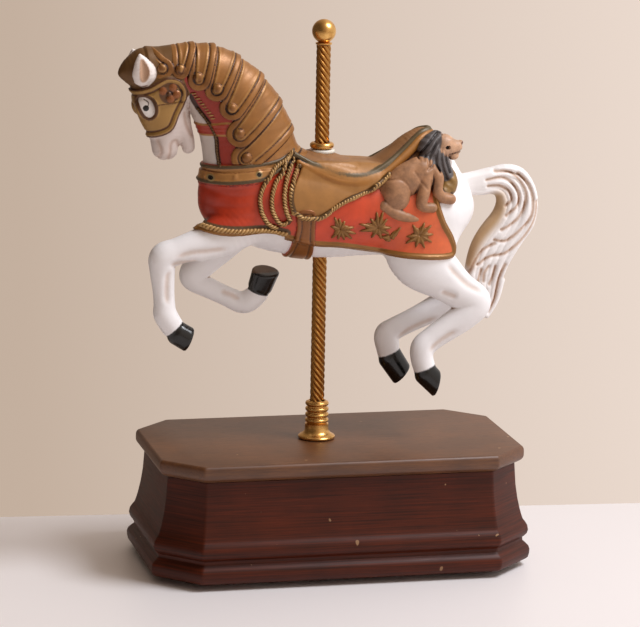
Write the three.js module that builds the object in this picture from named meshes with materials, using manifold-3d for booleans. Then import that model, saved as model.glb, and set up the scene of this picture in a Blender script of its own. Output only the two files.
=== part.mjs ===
// Carousel horse on a brass pole with a dark wooden base.
// Millimetres, +Z up, origin on the floor under the middle of the base.
// The horse faces -X, its near side faces -Y.
import * as THREE from 'three';
import { mergeVertices } from 'three/addons/utils/BufferGeometryUtils.js';
import Module from 'manifold-3d';

const wasm = await Module();
wasm.setup();

// ---------------------------------------------------------------- driving dimensions
const gap = 0.3;                       // clearance between neighbouring pieces

const footHeight = 2.8;                // black feet under the base
const footRadius = 4.8;
const footInset = 15;

const baseLength = 160;                // wooden top slab, an octagon
const baseWidth = 88.7;
const baseCorner = 16;                 // leg of each cut corner
const baseTopZ = 53.2;
const slabThickness = 7.4;
const slabInset = 3.7;                 // case under the slab's rounded edge

const poleX = -5.6;
const poleRadius = 3.1;                // over the twisted ridges
const poleGroove = 0.5;
const poleStarts = 7;
const poleLead = 19.5;                 // one full turn of a ridge
const poleLayer = 2.4;                   // height of one twisted course
const ferruleHeight = 16.5;
const ferruleFlange = 8;
const ferruleBody = 5.1;
const bellyZ = 133;
const backZ = 178;                     // flat let into the back for the washer
const washerRadius = 5.5;
const washerHeight = 1.6;
const collarRadius = 5.2;
const collarHeight = 2.7;
const ballRadius = 5.1;
const ballZ = 230.4;

const grain = 1.0;                     // cell of the modelling grid
const horseFaces = 6100;               // triangles kept on the horse

// ---------------------------------------------------------------- looks
const paint = {
  porcelain: new THREE.MeshStandardMaterial({ color: 0xe9e3dd, roughness: 0.55, metalness: 0 }),
  brass: new THREE.MeshStandardMaterial({ color: 0xc08a3a, roughness: 0.3, metalness: 1 }),
  wood: new THREE.MeshStandardMaterial({ color: 0x3d2018, roughness: 0.45, metalness: 0 }),
  woodTop: new THREE.MeshStandardMaterial({ color: 0x553a2c, roughness: 0.4, metalness: 0 }),
  rubber: new THREE.MeshStandardMaterial({ color: 0x15120f, roughness: 0.8, metalness: 0 }),
  washer: new THREE.MeshStandardMaterial({ color: 0xe6ded2, roughness: 0.5, metalness: 0 }),
};

// ---------------------------------------------------------------- small maths
const far = 50;
const lerp = (a, b, t) => a + (b - a) * t;
const clamp = (v, a, b) => Math.min(b, Math.max(a, v));

function softMin(a, b, k) {
  const h = Math.max(k - Math.abs(a - b), 0) / k;
  return Math.min(a, b) - h * h * k * 0.25;
}

function softMax(a, b, k) {
  return -softMin(-a, -b, k);
}

// Smooth run of stations through the given ones, any number of columns.
function flow(stations, steps, closed = false) {
  const run = [];
  const count = stations.length;
  const spans = closed ? count : count - 1;
  const pick = (i) => stations[closed ? (i + count) % count : clamp(i, 0, count - 1)];
  for (let i = 0; i < spans; i++) {
    const [a, b, c, d] = [pick(i - 1), pick(i), pick(i + 1), pick(i + 2)];
    for (let s = 0; s < steps; s++) {
      const t = s / steps;
      run.push(b.map((v, j) => {
        const [p, q, r] = [a[j], c[j], d[j]];
        return v + 0.5 * t * (q - p + t * (2 * p - 5 * v + 4 * q - r + t * (3 * (v - q) + r - p)));
      }));
    }
  }
  if (!closed) run.push(stations[count - 1]);
  return run;
}

// ---------------------------------------------------------------- forms
// A station is [x, z, y, half depth in the XZ plane, half width across].
function bone(a, b) {
  const start = new THREE.Vector3(a[0], a[2], a[1]);
  const axis = new THREE.Vector3(b[0], b[2], b[1]).sub(start);
  const length = Math.max(axis.length(), 1e-3);
  axis.divideScalar(length);
  const side = new THREE.Vector3(0, 1, 0).addScaledVector(axis, -axis.y).normalize();
  const depth = new THREE.Vector3().crossVectors(axis, side);
  const reach = Math.max(a[3], a[4], b[3], b[4]);
  const lo = [Math.min(a[0], b[0]) - reach, Math.min(a[2], b[2]) - reach, Math.min(a[1], b[1]) - reach];
  const hi = [Math.max(a[0], b[0]) + reach, Math.max(a[2], b[2]) + reach, Math.max(a[1], b[1]) + reach];
  const at = (x, y, z) => {
    const px = x - start.x;
    const py = y - start.y;
    const pz = z - start.z;
    const along = px * axis.x + py * axis.y + pz * axis.z;
    const t = clamp(along / length, 0, 1);
    const rd = lerp(a[3], b[3], t);
    const rs = lerp(a[4], b[4], t);
    const rc = Math.min(rd, rs);
    const n = (px * depth.x + py * depth.y + pz * depth.z) / rd;
    const s = (px * side.x + py * side.y + pz * side.z) / rs;
    const c = (along - t * length) / rc;
    const k0 = Math.sqrt(n * n + s * s + c * c);
    if (k0 < 1e-4) return -rc;
    const k1 = Math.sqrt((n / rd) ** 2 + (s / rs) ** 2 + (c / rc) ** 2);
    return k0 * (k0 - 1) / k1;
  };
  return { lo, hi, at };
}

function limb(stations, steps = 4) {
  const run = flow(stations, steps);
  return run.slice(1).map((station, i) => bone(run[i], station));
}

const ball = (x, z, y, rx, ry, rz) => ({
  lo: [x - rx, y - ry, z - rz],
  hi: [x + rx, y + ry, z + rz],
  at: (px, py, pz) => {
    const [u, v, w] = [(px - x) / rx, (py - y) / ry, (pz - z) / rz];
    const k0 = Math.hypot(u, v, w);
    return k0 < 1e-4 ? -Math.min(rx, ry, rz) : k0 * (k0 - 1) / Math.hypot(u / rx, v / ry, w / rz);
  },
});

const mirrored = (stations) => stations.map(([x, z, y, d, w]) => [x, z, -y, d, w]);

// A hoof: a short tapered block from the coronet to a flat sole, the sole turned by some degrees.
function hoof(coronet, sole, turn) {
  const out = new THREE.Vector3(sole[0] - coronet[0], sole[2] - coronet[2], sole[1] - coronet[1]).normalize();
  const past = 4;                      // the block runs on a little so the cut sole is full
  const body = bone(coronet, [sole[0] + past * out.x, sole[1] + past * out.z, sole[2] + past * out.y, sole[3], sole[4]]);
  out.applyAxisAngle(new THREE.Vector3(0, -1, 0), (turn * Math.PI) / 180);
  const at = (x, y, z) => {
    const beyond = (x - sole[0]) * out.x + (y - sole[2]) * out.y + (z - sole[1]) * out.z;
    return softMax(body.at(x, y, z), beyond, 0.8);
  };
  return { lo: body.lo, hi: body.hi, at };
}

// ---------------------------------------------------------------- clay
class Clay {
  constructor(lo, hi) {
    this.lo = lo;
    this.n = lo.map((v, a) => Math.ceil((hi[a] - v) / grain) + 1);
    this.d = new Float32Array(this.n[0] * this.n[1] * this.n[2]).fill(far);
  }

  visit(lo, hi, reach, work) {
    const from = lo.map((v, a) => clamp(Math.floor((v - reach - this.lo[a]) / grain), 0, this.n[a] - 1));
    const to = hi.map((v, a) => clamp(Math.ceil((v + reach - this.lo[a]) / grain), 0, this.n[a] - 1));
    for (let k = from[2]; k <= to[2]; k++) {
      for (let j = from[1]; j <= to[1]; j++) {
        let i = (k * this.n[1] + j) * this.n[0] + from[0];
        const y = this.lo[1] + j * grain;
        const z = this.lo[2] + k * grain;
        for (let a = from[0]; a <= to[0]; a++) {
          work(i, this.lo[0] + a * grain, y, z);
          i += 1;
        }
      }
    }
  }

  gather(forms, reach) {
    const d = new Float32Array(this.d.length).fill(far);
    for (const form of forms) {
      this.visit(form.lo, form.hi, reach, (i, x, y, z) => {
        d[i] = Math.min(d[i], form.at(x, y, z));
      });
    }
    return d;
  }

  join(forms, blend) {
    const d = this.gather(forms, blend + 5);
    for (let i = 0; i < d.length; i++) this.d[i] = softMin(this.d[i], d[i], blend);
  }

  carve(forms, blend) {
    const d = this.gather(forms, blend + 5);
    for (let i = 0; i < d.length; i++) this.d[i] = softMax(this.d[i], -d[i], blend);
  }

  // A function of x and z, worked out once for each column seen from the side.
  sideMap(shape, reach) {
    const map = new Float32Array(this.n[0] * this.n[2]).fill(far);
    for (let k = 0; k < this.n[2]; k++) {
      const z = this.lo[2] + k * grain;
      if (z < shape.lo[1] - reach || z > shape.hi[1] + reach) continue;
      for (let i = 0; i < this.n[0]; i++) {
        const x = this.lo[0] + i * grain;
        if (x >= shape.lo[0] - reach && x <= shape.hi[0] + reach) map[k * this.n[0] + i] = shape.at(x, z);
      }
    }
    return (index) => map[Math.floor(index / (this.n[0] * this.n[1])) * this.n[0] + (index % this.n[0])];
  }

  // Lays a sheet over the clay inside a region seen from the side.
  cover(region, thickness, side = () => true) {
    const lo = [region.lo[0], this.lo[1], region.lo[1]];
    const hi = [region.hi[0], this.lo[1] + this.n[1] * grain, region.hi[1]];
    const edge = this.sideMap(region, 1.5);
    this.visit(lo, hi, 1, (i, x, y, z) => {
      const before = this.d[i];
      if (before > 6 || !side(x, y, z)) return;
      this.d[i] = Math.min(before, softMax(before - thickness, edge(i), 0.6));
    });
  }

  // Raises the surface by a height that depends on how far a place is from a shape seen from the side.
  emboss(shape, reach, height, side = () => true) {
    const lo = [shape.lo[0] - reach, this.lo[1], shape.lo[1] - reach];
    const hi = [shape.hi[0] + reach, this.lo[1] + this.n[1] * grain, shape.hi[1] + reach];
    const away = this.sideMap(shape, reach);
    this.visit(lo, hi, 0, (i, x, y, z) => {
      if (Math.abs(this.d[i]) < 6 && side(x, y, z)) this.d[i] -= height(away(i));
    });
  }

  // Fills the corners where two skins would meet along one edge.
  settle() {
    const { n, d } = this;
    const step = [1, n[0], n[0] * n[1]];
    let changed = 1;
    for (let pass = 0; changed && pass < 12; pass++) {
      changed = 0;
      for (let k = 0; k < n[2] - 1; k++) {
        for (let j = 0; j < n[1] - 1; j++) {
          for (let i = 0; i < n[0] - 1; i++) {
            const at = i + j * step[1] + k * step[2];
            for (let m = 0; m < 3; m++) {
              const [p, q, r, s] = [at, at + step[m], at + step[(m + 1) % 3], at + step[m] + step[(m + 1) % 3]];
              const [a, b, c, e] = [d[p] < 0, d[q] < 0, d[r] < 0, d[s] < 0];
              if (a !== e || b !== c || a === b) continue;
              const [u, v] = a ? [q, r] : [p, s];
              d[d[u] < d[v] ? u : v] = -0.05;
              changed += 1;
            }
          }
        }
      }
    }
  }

  // Closed surface where the field changes sign, one vertex for each cell it crosses.
  skin() {
    this.settle();
    const { n, d, lo } = this;
    const step = [1, n[0], n[0] * n[1]];
    const vertexOf = new Int32Array(d.length).fill(-1);
    const points = [];
    const faces = [];
    const corner = [];
    for (let c = 0; c < 8; c++) corner.push([c & 1, (c >> 1) & 1, c >> 2]);
    const edges = [];
    for (let a = 0; a < 8; a++) {
      for (const bit of [1, 2, 4]) if (!(a & bit)) edges.push([a, a | bit]);
    }
    for (let k = 0; k < n[2] - 1; k++) {
      for (let j = 0; j < n[1] - 1; j++) {
        for (let i = 0; i < n[0] - 1; i++) {
          const at = i + j * step[1] + k * step[2];
          if (Math.abs(d[at]) > 9) continue;
          const value = corner.map(([a, b, c]) => d[at + a + b * step[1] + c * step[2]]);
          let sum = [0, 0, 0];
          let hits = 0;
          for (const [a, b] of edges) {
            if (value[a] < 0 === value[b] < 0) continue;
            const t = value[a] / (value[a] - value[b]);
            sum = sum.map((v, m) => v + lerp(corner[a][m], corner[b][m], t));
            hits += 1;
          }
          if (!hits) continue;
          vertexOf[at] = points.length;
          points.push([i, j, k].map((v, m) => lo[m] + (v + sum[m] / hits) * grain));
        }
      }
    }
    for (let k = 1; k < n[2] - 1; k++) {
      for (let j = 1; j < n[1] - 1; j++) {
        for (let i = 1; i < n[0] - 1; i++) {
          const at = i + j * step[1] + k * step[2];
          for (let m = 0; m < 3; m++) {
            const inside = d[at] < 0;
            if (inside === d[at + step[m]] < 0) continue;
            const u = step[(m + 1) % 3];
            const v = step[(m + 2) % 3];
            const ring = [at - u - v, at - v, at, at - u].map((q) => vertexOf[q]);
            if (!inside) ring.reverse();
            faces.push([ring[0], ring[1], ring[2]], [ring[0], ring[2], ring[3]]);
          }
        }
      }
    }
    return { points, faces };
  }
}

// ---------------------------------------------------------------- thinning
// Collapses the edges that change the shape least until only `keep` faces are left.
function thin(points, faces, keep) {
  const place = points.map((p) => p.slice());
  const face = faces.map((f) => f.slice());
  const fans = points.map(() => new Set());
  const quadric = points.map(() => new Float64Array(10));
  const stamp = new Uint32Array(points.length);

  const cross = (a, b, c) => {
    const u = [b[0] - a[0], b[1] - a[1], b[2] - a[2]];
    const v = [c[0] - a[0], c[1] - a[1], c[2] - a[2]];
    return [u[1] * v[2] - u[2] * v[1], u[2] * v[0] - u[0] * v[2], u[0] * v[1] - u[1] * v[0]];
  };
  face.forEach((f, i) => {
    const n = cross(place[f[0]], place[f[1]], place[f[2]]);
    const size = Math.hypot(...n) || 1e-9;
    const [a, b, c] = n.map((v) => v / size);
    const d = -(a * place[f[0]][0] + b * place[f[0]][1] + c * place[f[0]][2]);
    const terms = [a * a, a * b, a * c, a * d, b * b, b * c, b * d, c * c, c * d, d * d];
    for (const v of f) {
      fans[v].add(i);
      for (let m = 0; m < 10; m++) quadric[v][m] += terms[m] * size;
    }
  });

  const costAt = (q, p) => {
    const [x, y, z] = p;
    return q[0] * x * x + 2 * q[1] * x * y + 2 * q[2] * x * z + 2 * q[3] * x + q[4] * y * y
      + 2 * q[5] * y * z + 2 * q[6] * y + q[7] * z * z + 2 * q[8] * z + q[9];
  };
  const bestPlace = (q, a, b) => {
    const mid = a.map((v, m) => (v + b[m]) / 2);
    const hold = 1e-3 * (q[0] + q[4] + q[7]) + 1e-9;      // keeps flat places steady
    const [m00, m01, m02, m11, m12, m22] = [q[0] + hold, q[1], q[2], q[4] + hold, q[5], q[7] + hold];
    const right = [hold * mid[0] - q[3], hold * mid[1] - q[6], hold * mid[2] - q[8]];
    const c0 = m11 * m22 - m12 * m12;
    const c1 = m02 * m12 - m01 * m22;
    const c2 = m01 * m12 - m02 * m11;
    const det = m00 * c0 + m01 * c1 + m02 * c2;
    if (Math.abs(det) < 1e-12) return mid;
    return [
      (right[0] * c0 + right[1] * c1 + right[2] * c2) / det,
      (right[0] * c1 + right[1] * (m00 * m22 - m02 * m02) + right[2] * (m01 * m02 - m00 * m12)) / det,
      (right[0] * c2 + right[1] * (m01 * m02 - m00 * m12) + right[2] * (m00 * m11 - m01 * m01)) / det,
    ];
  };

  const heap = [];
  const push = (item) => {
    let i = heap.push(item) - 1;
    while (i > 0) {
      const up = (i - 1) >> 1;
      if (heap[up].cost <= heap[i].cost) break;
      [heap[up], heap[i]] = [heap[i], heap[up]];
      i = up;
    }
  };
  const pop = () => {
    const top = heap[0];
    const last = heap.pop();
    if (heap.length) {
      heap[0] = last;
      let i = 0;
      for (;;) {
        let small = i;
        for (const kid of [2 * i + 1, 2 * i + 2]) {
          if (kid < heap.length && heap[kid].cost < heap[small].cost) small = kid;
        }
        if (small === i) break;
        [heap[small], heap[i]] = [heap[i], heap[small]];
        i = small;
      }
    }
    return top;
  };
  const offer = (a, b) => {
    const q = quadric[a].map((v, m) => v + quadric[b][m]);
    const spot = bestPlace(q, place[a], place[b]);
    push({ cost: costAt(q, spot), a, b, spot, sa: stamp[a], sb: stamp[b] });
  };
  const around = (v) => {
    const ring = new Set();
    for (const i of fans[v]) for (const w of face[i]) if (w !== v) ring.add(w);
    return ring;
  };
  const keepsShape = (v, other, spot) => {
    for (const i of fans[v]) {
      const f = face[i];
      if (f.includes(other)) continue;
      const before = cross(...f.map((w) => place[w]));
      const moved = f.map((w) => (w === v ? spot : place[w]));
      const after = cross(...moved);
      const dot = before[0] * after[0] + before[1] * after[1] + before[2] * after[2];
      const size = Math.hypot(...after);
      if (dot < 0.25 * Math.hypot(...before) * size) return false;
      let longest = 0;
      for (let m = 0; m < 3; m++) {
        longest = Math.max(longest, Math.hypot(...moved[m].map((c, t) => c - moved[(m + 1) % 3][t])));
      }
      if (size < 0.12 * longest * longest) return false;
    }
    return true;
  };

  for (let v = 0; v < place.length; v++) for (const w of around(v)) if (v < w) offer(v, w);
  let left = face.length;
  while (left > keep && heap.length) {
    const { a, b, spot, sa, sb } = pop();
    if (stamp[a] !== sa || stamp[b] !== sb) continue;
    const ringB = around(b);
    const shared = [...around(a)].filter((w) => ringB.has(w));
    if (shared.length !== 2) continue;
    if (!keepsShape(a, b, spot) || !keepsShape(b, a, spot)) continue;
    for (const i of [...fans[b]]) {
      if (face[i].includes(a)) {
        for (const w of face[i]) fans[w].delete(i);
        face[i] = null;
        left -= 1;
      } else {
        face[i] = face[i].map((w) => (w === b ? a : w));
        fans[a].add(i);
      }
    }
    fans[b].clear();
    place[a] = spot;
    for (let m = 0; m < 10; m++) quadric[a][m] += quadric[b][m];
    stamp[b] += 1;
    stamp[a] += 1;
    for (const w of around(a)) offer(a, w);
  }

  const rename = new Map();
  const kept = [];
  const out = face.filter(Boolean).map((f) => f.map((v) => {
    if (!rename.has(v)) rename.set(v, kept.push(place[v]) - 1);
    return rename.get(v);
  }));
  return { points: kept, faces: out };
}

function toGeometry({ points, faces }) {
  const geometry = new THREE.BufferGeometry();
  geometry.setAttribute('position', new THREE.Float32BufferAttribute(points.flat(), 3));
  geometry.setIndex(faces.flat());
  return geometry;
}

function toSolid(geometry) {
  const bare = geometry.clone();
  for (const name of Object.keys(bare.attributes)) if (name !== 'position') bare.deleteAttribute(name);
  const merged = mergeVertices(bare, 1e-4);
  return new wasm.Manifold(new wasm.Mesh({
    numProp: 3,
    vertProperties: Float32Array.from(merged.attributes.position.array),
    triVerts: Uint32Array.from(merged.index.array),
  }));
}

function fromSolid(solid) {
  const mesh = solid.getMesh();
  const geometry = new THREE.BufferGeometry();
  geometry.setAttribute('position', new THREE.BufferAttribute(mesh.vertProperties, mesh.numProp));
  geometry.setIndex(new THREE.BufferAttribute(mesh.triVerts, 1));
  return geometry;
}

// ---------------------------------------------------------------- side-view regions and lines
// Closed outline in the XZ plane, negative inside.
function region(outline, steps = 5, grow = 0) {
  const run = flow(outline, steps, true);
  const xs = run.map((p) => p[0]);
  const zs = run.map((p) => p[1]);
  const at = (x, z) => {
    let best = 1e9;
    let inside = false;
    for (let i = 0, j = run.length - 1; i < run.length; j = i++) {
      const [ax, az] = run[j];
      const [bx, bz] = run[i];
      const [ex, ez] = [bx - ax, bz - az];
      const t = clamp(((x - ax) * ex + (z - az) * ez) / (ex * ex + ez * ez + 1e-9), 0, 1);
      best = Math.min(best, Math.hypot(x - ax - t * ex, z - az - t * ez));
      if ((az > z) !== (bz > z) && x < ax + ex * (z - az) / ez) inside = !inside;
    }
    return (inside ? -best : best) - grow;
  };
  const lo = [Math.min(...xs) - grow, Math.min(...zs) - grow];
  const hi = [Math.max(...xs) + grow, Math.max(...zs) + grow];
  return { lo, hi, at };
}

// Tapered tongue in the XZ plane from one point and radius to another.
function tongue([ax, az, ra], [bx, bz, rb]) {
  const length = Math.hypot(bx - ax, bz - az);
  const reach = Math.max(ra, rb);
  return {
    lo: [Math.min(ax, bx) - reach, Math.min(az, bz) - reach],
    hi: [Math.max(ax, bx) + reach, Math.max(az, bz) + reach],
    at: (x, z) => {
      const t = clamp(((x - ax) * (bx - ax) + (z - az) * (bz - az)) / (length * length), 0, 1);
      return Math.hypot(x - lerp(ax, bx, t), z - lerp(az, bz, t)) - lerp(ra, rb, t);
    },
  };
}

// Distance to a line drawn on the side of the figure.
function stroke(line, steps = 5) {
  const run = flow(line, steps);
  const xs = run.map((p) => p[0]);
  const zs = run.map((p) => p[1]);
  const at = (x, z) => {
    let best = 1e9;
    for (let i = 1; i < run.length; i++) {
      const [ax, az] = run[i - 1];
      const [ex, ez] = [run[i][0] - ax, run[i][1] - az];
      const t = clamp(((x - ax) * ex + (z - az) * ez) / (ex * ex + ez * ez + 1e-9), 0, 1);
      best = Math.min(best, Math.hypot(x - ax - t * ex, z - az - t * ez));
    }
    return best;
  };
  return { lo: [Math.min(...xs), Math.min(...zs)], hi: [Math.max(...xs), Math.max(...zs)], at };
}

// ---------------------------------------------------------------- the horse
// Stations run [x, z, y, half depth, half width].
const trunk = [
  [-47, 159, 0, 12.3, 11.3], [-38, 159.5, 0, 18.3, 14], [-24, 157.3, 0, 21.3, 15.3], [-5, 154.6, 0, 21.6, 16],
  [12, 153, 0, 19.5, 16], [28, 152.8, 0, 18.8, 16], [41, 153, 0, 17, 15.3], [49.5, 154, 0, 12.6, 12.5],
];
const neck = [
  [-36.3, 170, 0, 20.2, 13], [-38.4, 183.6, 0, 19.5, 12], [-42.3, 194.5, 0, 18.2, 11], [-48.2, 203.4, 0, 16.6, 10.3],
  [-55.9, 210.7, 0, 14, 9.4], [-65.2, 213.6, 0, 11.6, 8.6], [-76, 213.3, 0, 10.8, 7.8],
];
const head = [
  [-76, 212.5, 0, 10.3, 7.6], [-76.3, 205.5, 0, 10.2, 7.8], [-74.2, 198.5, 0, 10.6, 7.2], [-72.8, 192, 0, 9, 6.2],
  [-73.4, 186, 0, 6.8, 5.2], [-73.6, 181.4, 0, 5.6, 4.9],
];
const chin = [[-67.5, 192, 0, 4.6, 4.4], [-64.9, 186, 0, 3.6, 3.6], [-63.8, 182, 0, 2.9, 3.1]];
const peak = [[-82, 215, 0, 9.3, 7.4], [-87.6, 214.6, 0, 5.5, 4.6], [-92.3, 213.6, 0, 1, 1.4]];
const ear = [
  [-84.6, 211, -6.6, 3.8, 2], [-84.5, 214.5, -8.2, 4.9, 2.4], [-85.4, 219, -8.4, 3.2, 1.8], [-86.2, 222, -8, 0.8, 0.8],
];
const earHollow = [[-84.5, 212, -10.6, 1.6, 1.2], [-84.9, 216, -11, 2.2, 1.6], [-85.8, 220, -10.6, 0.7, 0.7]];

const nearFore = [
  [-38, 153, -7, 11, 8], [-48, 146, -9.5, 8.8, 6.5], [-60, 141.8, -10.5, 7.2, 5.6], [-70, 139, -10.8, 6, 5],
  [-76, 136.8, -10.8, 6, 5], [-76.3, 131, -10.5, 5.4, 4.4], [-75.6, 122, -10, 4.6, 3.9], [-75.2, 116, -10, 4.6, 4],
  [-74.8, 112, -10, 5, 4.4], [-71.6, 106.5, -10, 4.8, 4.1],
];
const farFore = [
  [-38, 150, 7, 11, 8], [-46, 139, 9, 8, 6], [-53, 132, 9.5, 6.8, 5.3], [-58.8, 126, 9.5, 6, 5],
  [-58.6, 122.6, 9.5, 5, 4.6], [-52, 118.9, 9.5, 4.4, 3.9], [-44, 115, 9.5, 4.3, 3.8], [-38, 112.3, 9.5, 4.7, 4.2],
  [-34.5, 113, 9, 4.9, 4.3], [-30.5, 116.3, 8.5, 4.5, 4.1],
];
const nearHind = [
  [42, 152, -6, 15, 9], [36.8, 140, -8.5, 16.3, 8], [38, 132.3, -9.5, 13.8, 7.2], [46.5, 124.7, -10, 10, 6],
  [54, 118.7, -10, 8, 5.2], [61.2, 113.4, -10, 7.1, 5], [57, 107.8, -10, 6.4, 4.8], [50, 102.8, -9.8, 5.8, 4.3],
  [43, 98, -9.6, 5.3, 4], [38.8, 94.2, -9.5, 5.4, 4.4], [38.2, 90, -9.5, 5, 4.3], [39.6, 84.5, -9.5, 4.8, 4.2],
];
const farHind = [
  [42, 150, 6, 14, 9], [40, 136, 8.5, 12.5, 7.5], [46, 124, 9.5, 9, 6], [54, 117, 9.5, 7, 5],
  [55, 111, 9.5, 6.5, 4.8], [48, 106.5, 9.5, 5.7, 4.3], [38, 101.8, 9.5, 5, 3.9], [30.5, 98.2, 9.5, 5.1, 4],
  [27.4, 95.5, 9.5, 5.6, 4.4], [28, 90, 9.5, 5.1, 4.3], [28.8, 87, 9.5, 5, 4.2],
];
const hooves = [
  [[-70.8, 104.3, -10, 5.3, 4.6], [-64.3, 100.8, -10, 5.5, 5], 8],
  [[-29.8, 117.2, 8, 5.2, 4.6], [-28, 126.4, 5.4, 6.2, 5.4], 0],
  [[40.2, 82.4, -9.5, 5.2, 4.5], [45.2, 77.4, -9.5, 4.9, 4.8], 30],
  [[29.3, 85.6, 9.5, 5.5, 4.5], [34.6, 77.8, 9.5, 5, 4.8], 15],
];

// The tail: locks that run between an inner and an outer edge.
const tailInner = [
  [60, 159.5], [65, 158.6], [69.5, 159], [72.6, 157.3], [73.2, 153.5], [71, 148.5], [66, 142.5], [62.2, 136.5],
  [60, 129], [59.6, 122], [62, 113], [66.5, 105.8],
];
const tailOuter = [
  [58, 167], [68, 170.6], [77, 172.4], [84.7, 170.8], [90, 163], [91.7, 154.3], [90.1, 145.8], [85, 137.9],
  [80.8, 130], [77.8, 121.5], [75.4, 112], [70.5, 104.6],
];
const tailLocks = 7;

function tailLock(index) {
  const share = (index + 0.5) / tailLocks;
  return tailInner.map(([x, z], i) => {
    const [ox, oz] = tailOuter[i];
    const width = Math.hypot(ox - x, oz - z) / tailLocks;
    const end = i / (tailInner.length - 1);
    const sway = (index % 2 ? 1 : -1) * 1.1 * Math.sin(Math.PI * end);
    const thick = lerp(3.2, 4.4, Math.sin(Math.PI * Math.min(1, end * 1.2))) * (end > 0.85 ? 0.6 : 1);
    return [lerp(x, ox, share), lerp(z, oz, share), 1 + sway, Math.max(width * 0.72, 1), thick];
  });
}

// Harness, saddle and cloth, as seen from the side.
const blanketEdge = [
  [-66, 151], [-60.5, 148.4], [-52, 146.4], [-43.4, 146], [-31, 146.3], [-21, 143.8], [-10.8, 141.3], [1.4, 140.2],
  [19.6, 136.8], [34, 135.3], [48, 134.9], [51, 137], [48.6, 142.6], [44.6, 149.1], [42, 156], [40, 170],
  [10, 178], [-20, 184], [-45, 180], [-66, 172],
];
const bandEdge = [
  [-66, 174.8], [-60, 174.9], [-50, 175.3], [-36, 176.6], [-26.8, 178.3], [-19, 182], [-22, 176.5], [-32, 170.3],
  [-38, 168.6], [-50, 167.4], [-60, 167.6], [-66, 167.8],
];
const girthEdge = [[-19.5, 156], [-12.4, 156], [-11.9, 148], [-11.7, 130], [-21.6, 130], [-20.8, 140], [-19.6, 148]];
const skirtEdge = [
  [-15, 176], [-18.6, 171], [-21.3, 165.3], [-21.9, 159.9], [-20.3, 155.5], [-16.5, 153.2], [-11.3, 153.4],
  [-5, 157.2], [1.3, 160.9], [9.5, 164], [16, 168], [20, 174], [0, 176],
];
const hem = [
  [-62, 150], [-60.5, 148.4], [-52, 146.4], [-43.4, 146], [-31, 146.3], [-21, 143.8], [-10.8, 141.3], [1.4, 140.2],
  [19.6, 136.8], [34, 135.3], [48, 134.9], [50.6, 137], [48.6, 142.6], [44.6, 149.1], [42, 156],
];
const collarEdge = [[-66, 195], [-60.5, 192.6], [-50, 193.5], [-44, 193], [-44, 189], [-49.9, 189.2], [-60, 187.4], [-66, 188]];

// Neck plates: top point and radius, then the rivet end and its radius.
const plates = [
  [[-83, 219, 7], [-76.7, 216.5, 4.6]],
  [[-67, 226, 5.2], [-69.2, 215.6, 3.6]],
  [[-58.5, 227, 6], [-61.4, 211.6, 4.6]],
  [[-47.5, 224.5, 7], [-54, 207.4, 4.8]],
  [[-36, 218.5, 7.6], [-47.4, 199.9, 5.2]],
  [[-25.5, 209.5, 7.6], [-43.9, 188.8, 5.6]],
  [[-18, 199, 7.6], [-41.5, 178.6, 6]],
  [[-13.5, 187.5, 8], [-33, 176, 7]],
];
const maskEdge = [
  [-97, 214], [-92, 203], [-90, 190], [-84.5, 185.6], [-79, 188.4], [-72, 190.5], [-68.5, 196], [-65.9, 202],
  [-66.4, 206.8], [-68.6, 212], [-70, 220], [-72, 230], [-90, 228],
];
const eyeSpot = [-82.8, 200.2];
const rosette = [-74.2, 205.6];

// Saddle seat with its raised rim, and the high back behind it.
const seat = [
  [-15, 172, 0, 7.6, 12.2], [-5, 170.8, 0, 8.6, 13], [5, 166.9, 0, 9.2, 13.8], [15, 165.8, 0, 9.6, 14],
  [24, 167, 0, 8.8, 11.8], [32, 172.4, 0, 8.6, 9], [37.5, 178, 0, 7.6, 6.8],
];
const saddleBack = [[35, 172, 0, 9, 9.5], [42, 174, 0, 9, 8.5], [47, 169, 0, 7.5, 9], [53, 162, 0, 6, 9]];
const rim = [
  [-21, 179.6, -10.6, 1.3, 1.3], [-13.3, 175, -12.4, 1.5, 1.5], [-5.6, 171.4, -13.6, 1.6, 1.6],
  [2.1, 169.2, -14.2, 1.7, 1.7], [10.4, 168.6, -13.9, 1.8, 1.8], [17.6, 171, -12.2, 1.9, 1.9],
  [25.6, 176, -9.6, 2, 2], [32.2, 181, -7, 2, 2], [37.6, 185.2, -4.6, 1.9, 1.9], [41, 186.6, -2.4, 1.8, 1.8],
  [42, 186.5, 0, 1.8, 1.8],
];
const ropes = [
  [[-20.9, 180, -14.6], [-27.4, 174.8, -15.9], [-32.4, 168.8, -16.4], [-34.4, 162, -16.8], [-33.8, 155.8, -16.8],
    [-31, 151.2, -16.6], [-27, 149, -16.6]],
  [[-20.5, 179, -14.6], [-25.5, 173, -16.2], [-27.6, 167, -16.8], [-28, 160.5, -17], [-26.8, 154.6, -17],
    [-24.2, 151, -16.8]],
];
const ropeRadius = 1.7;

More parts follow.
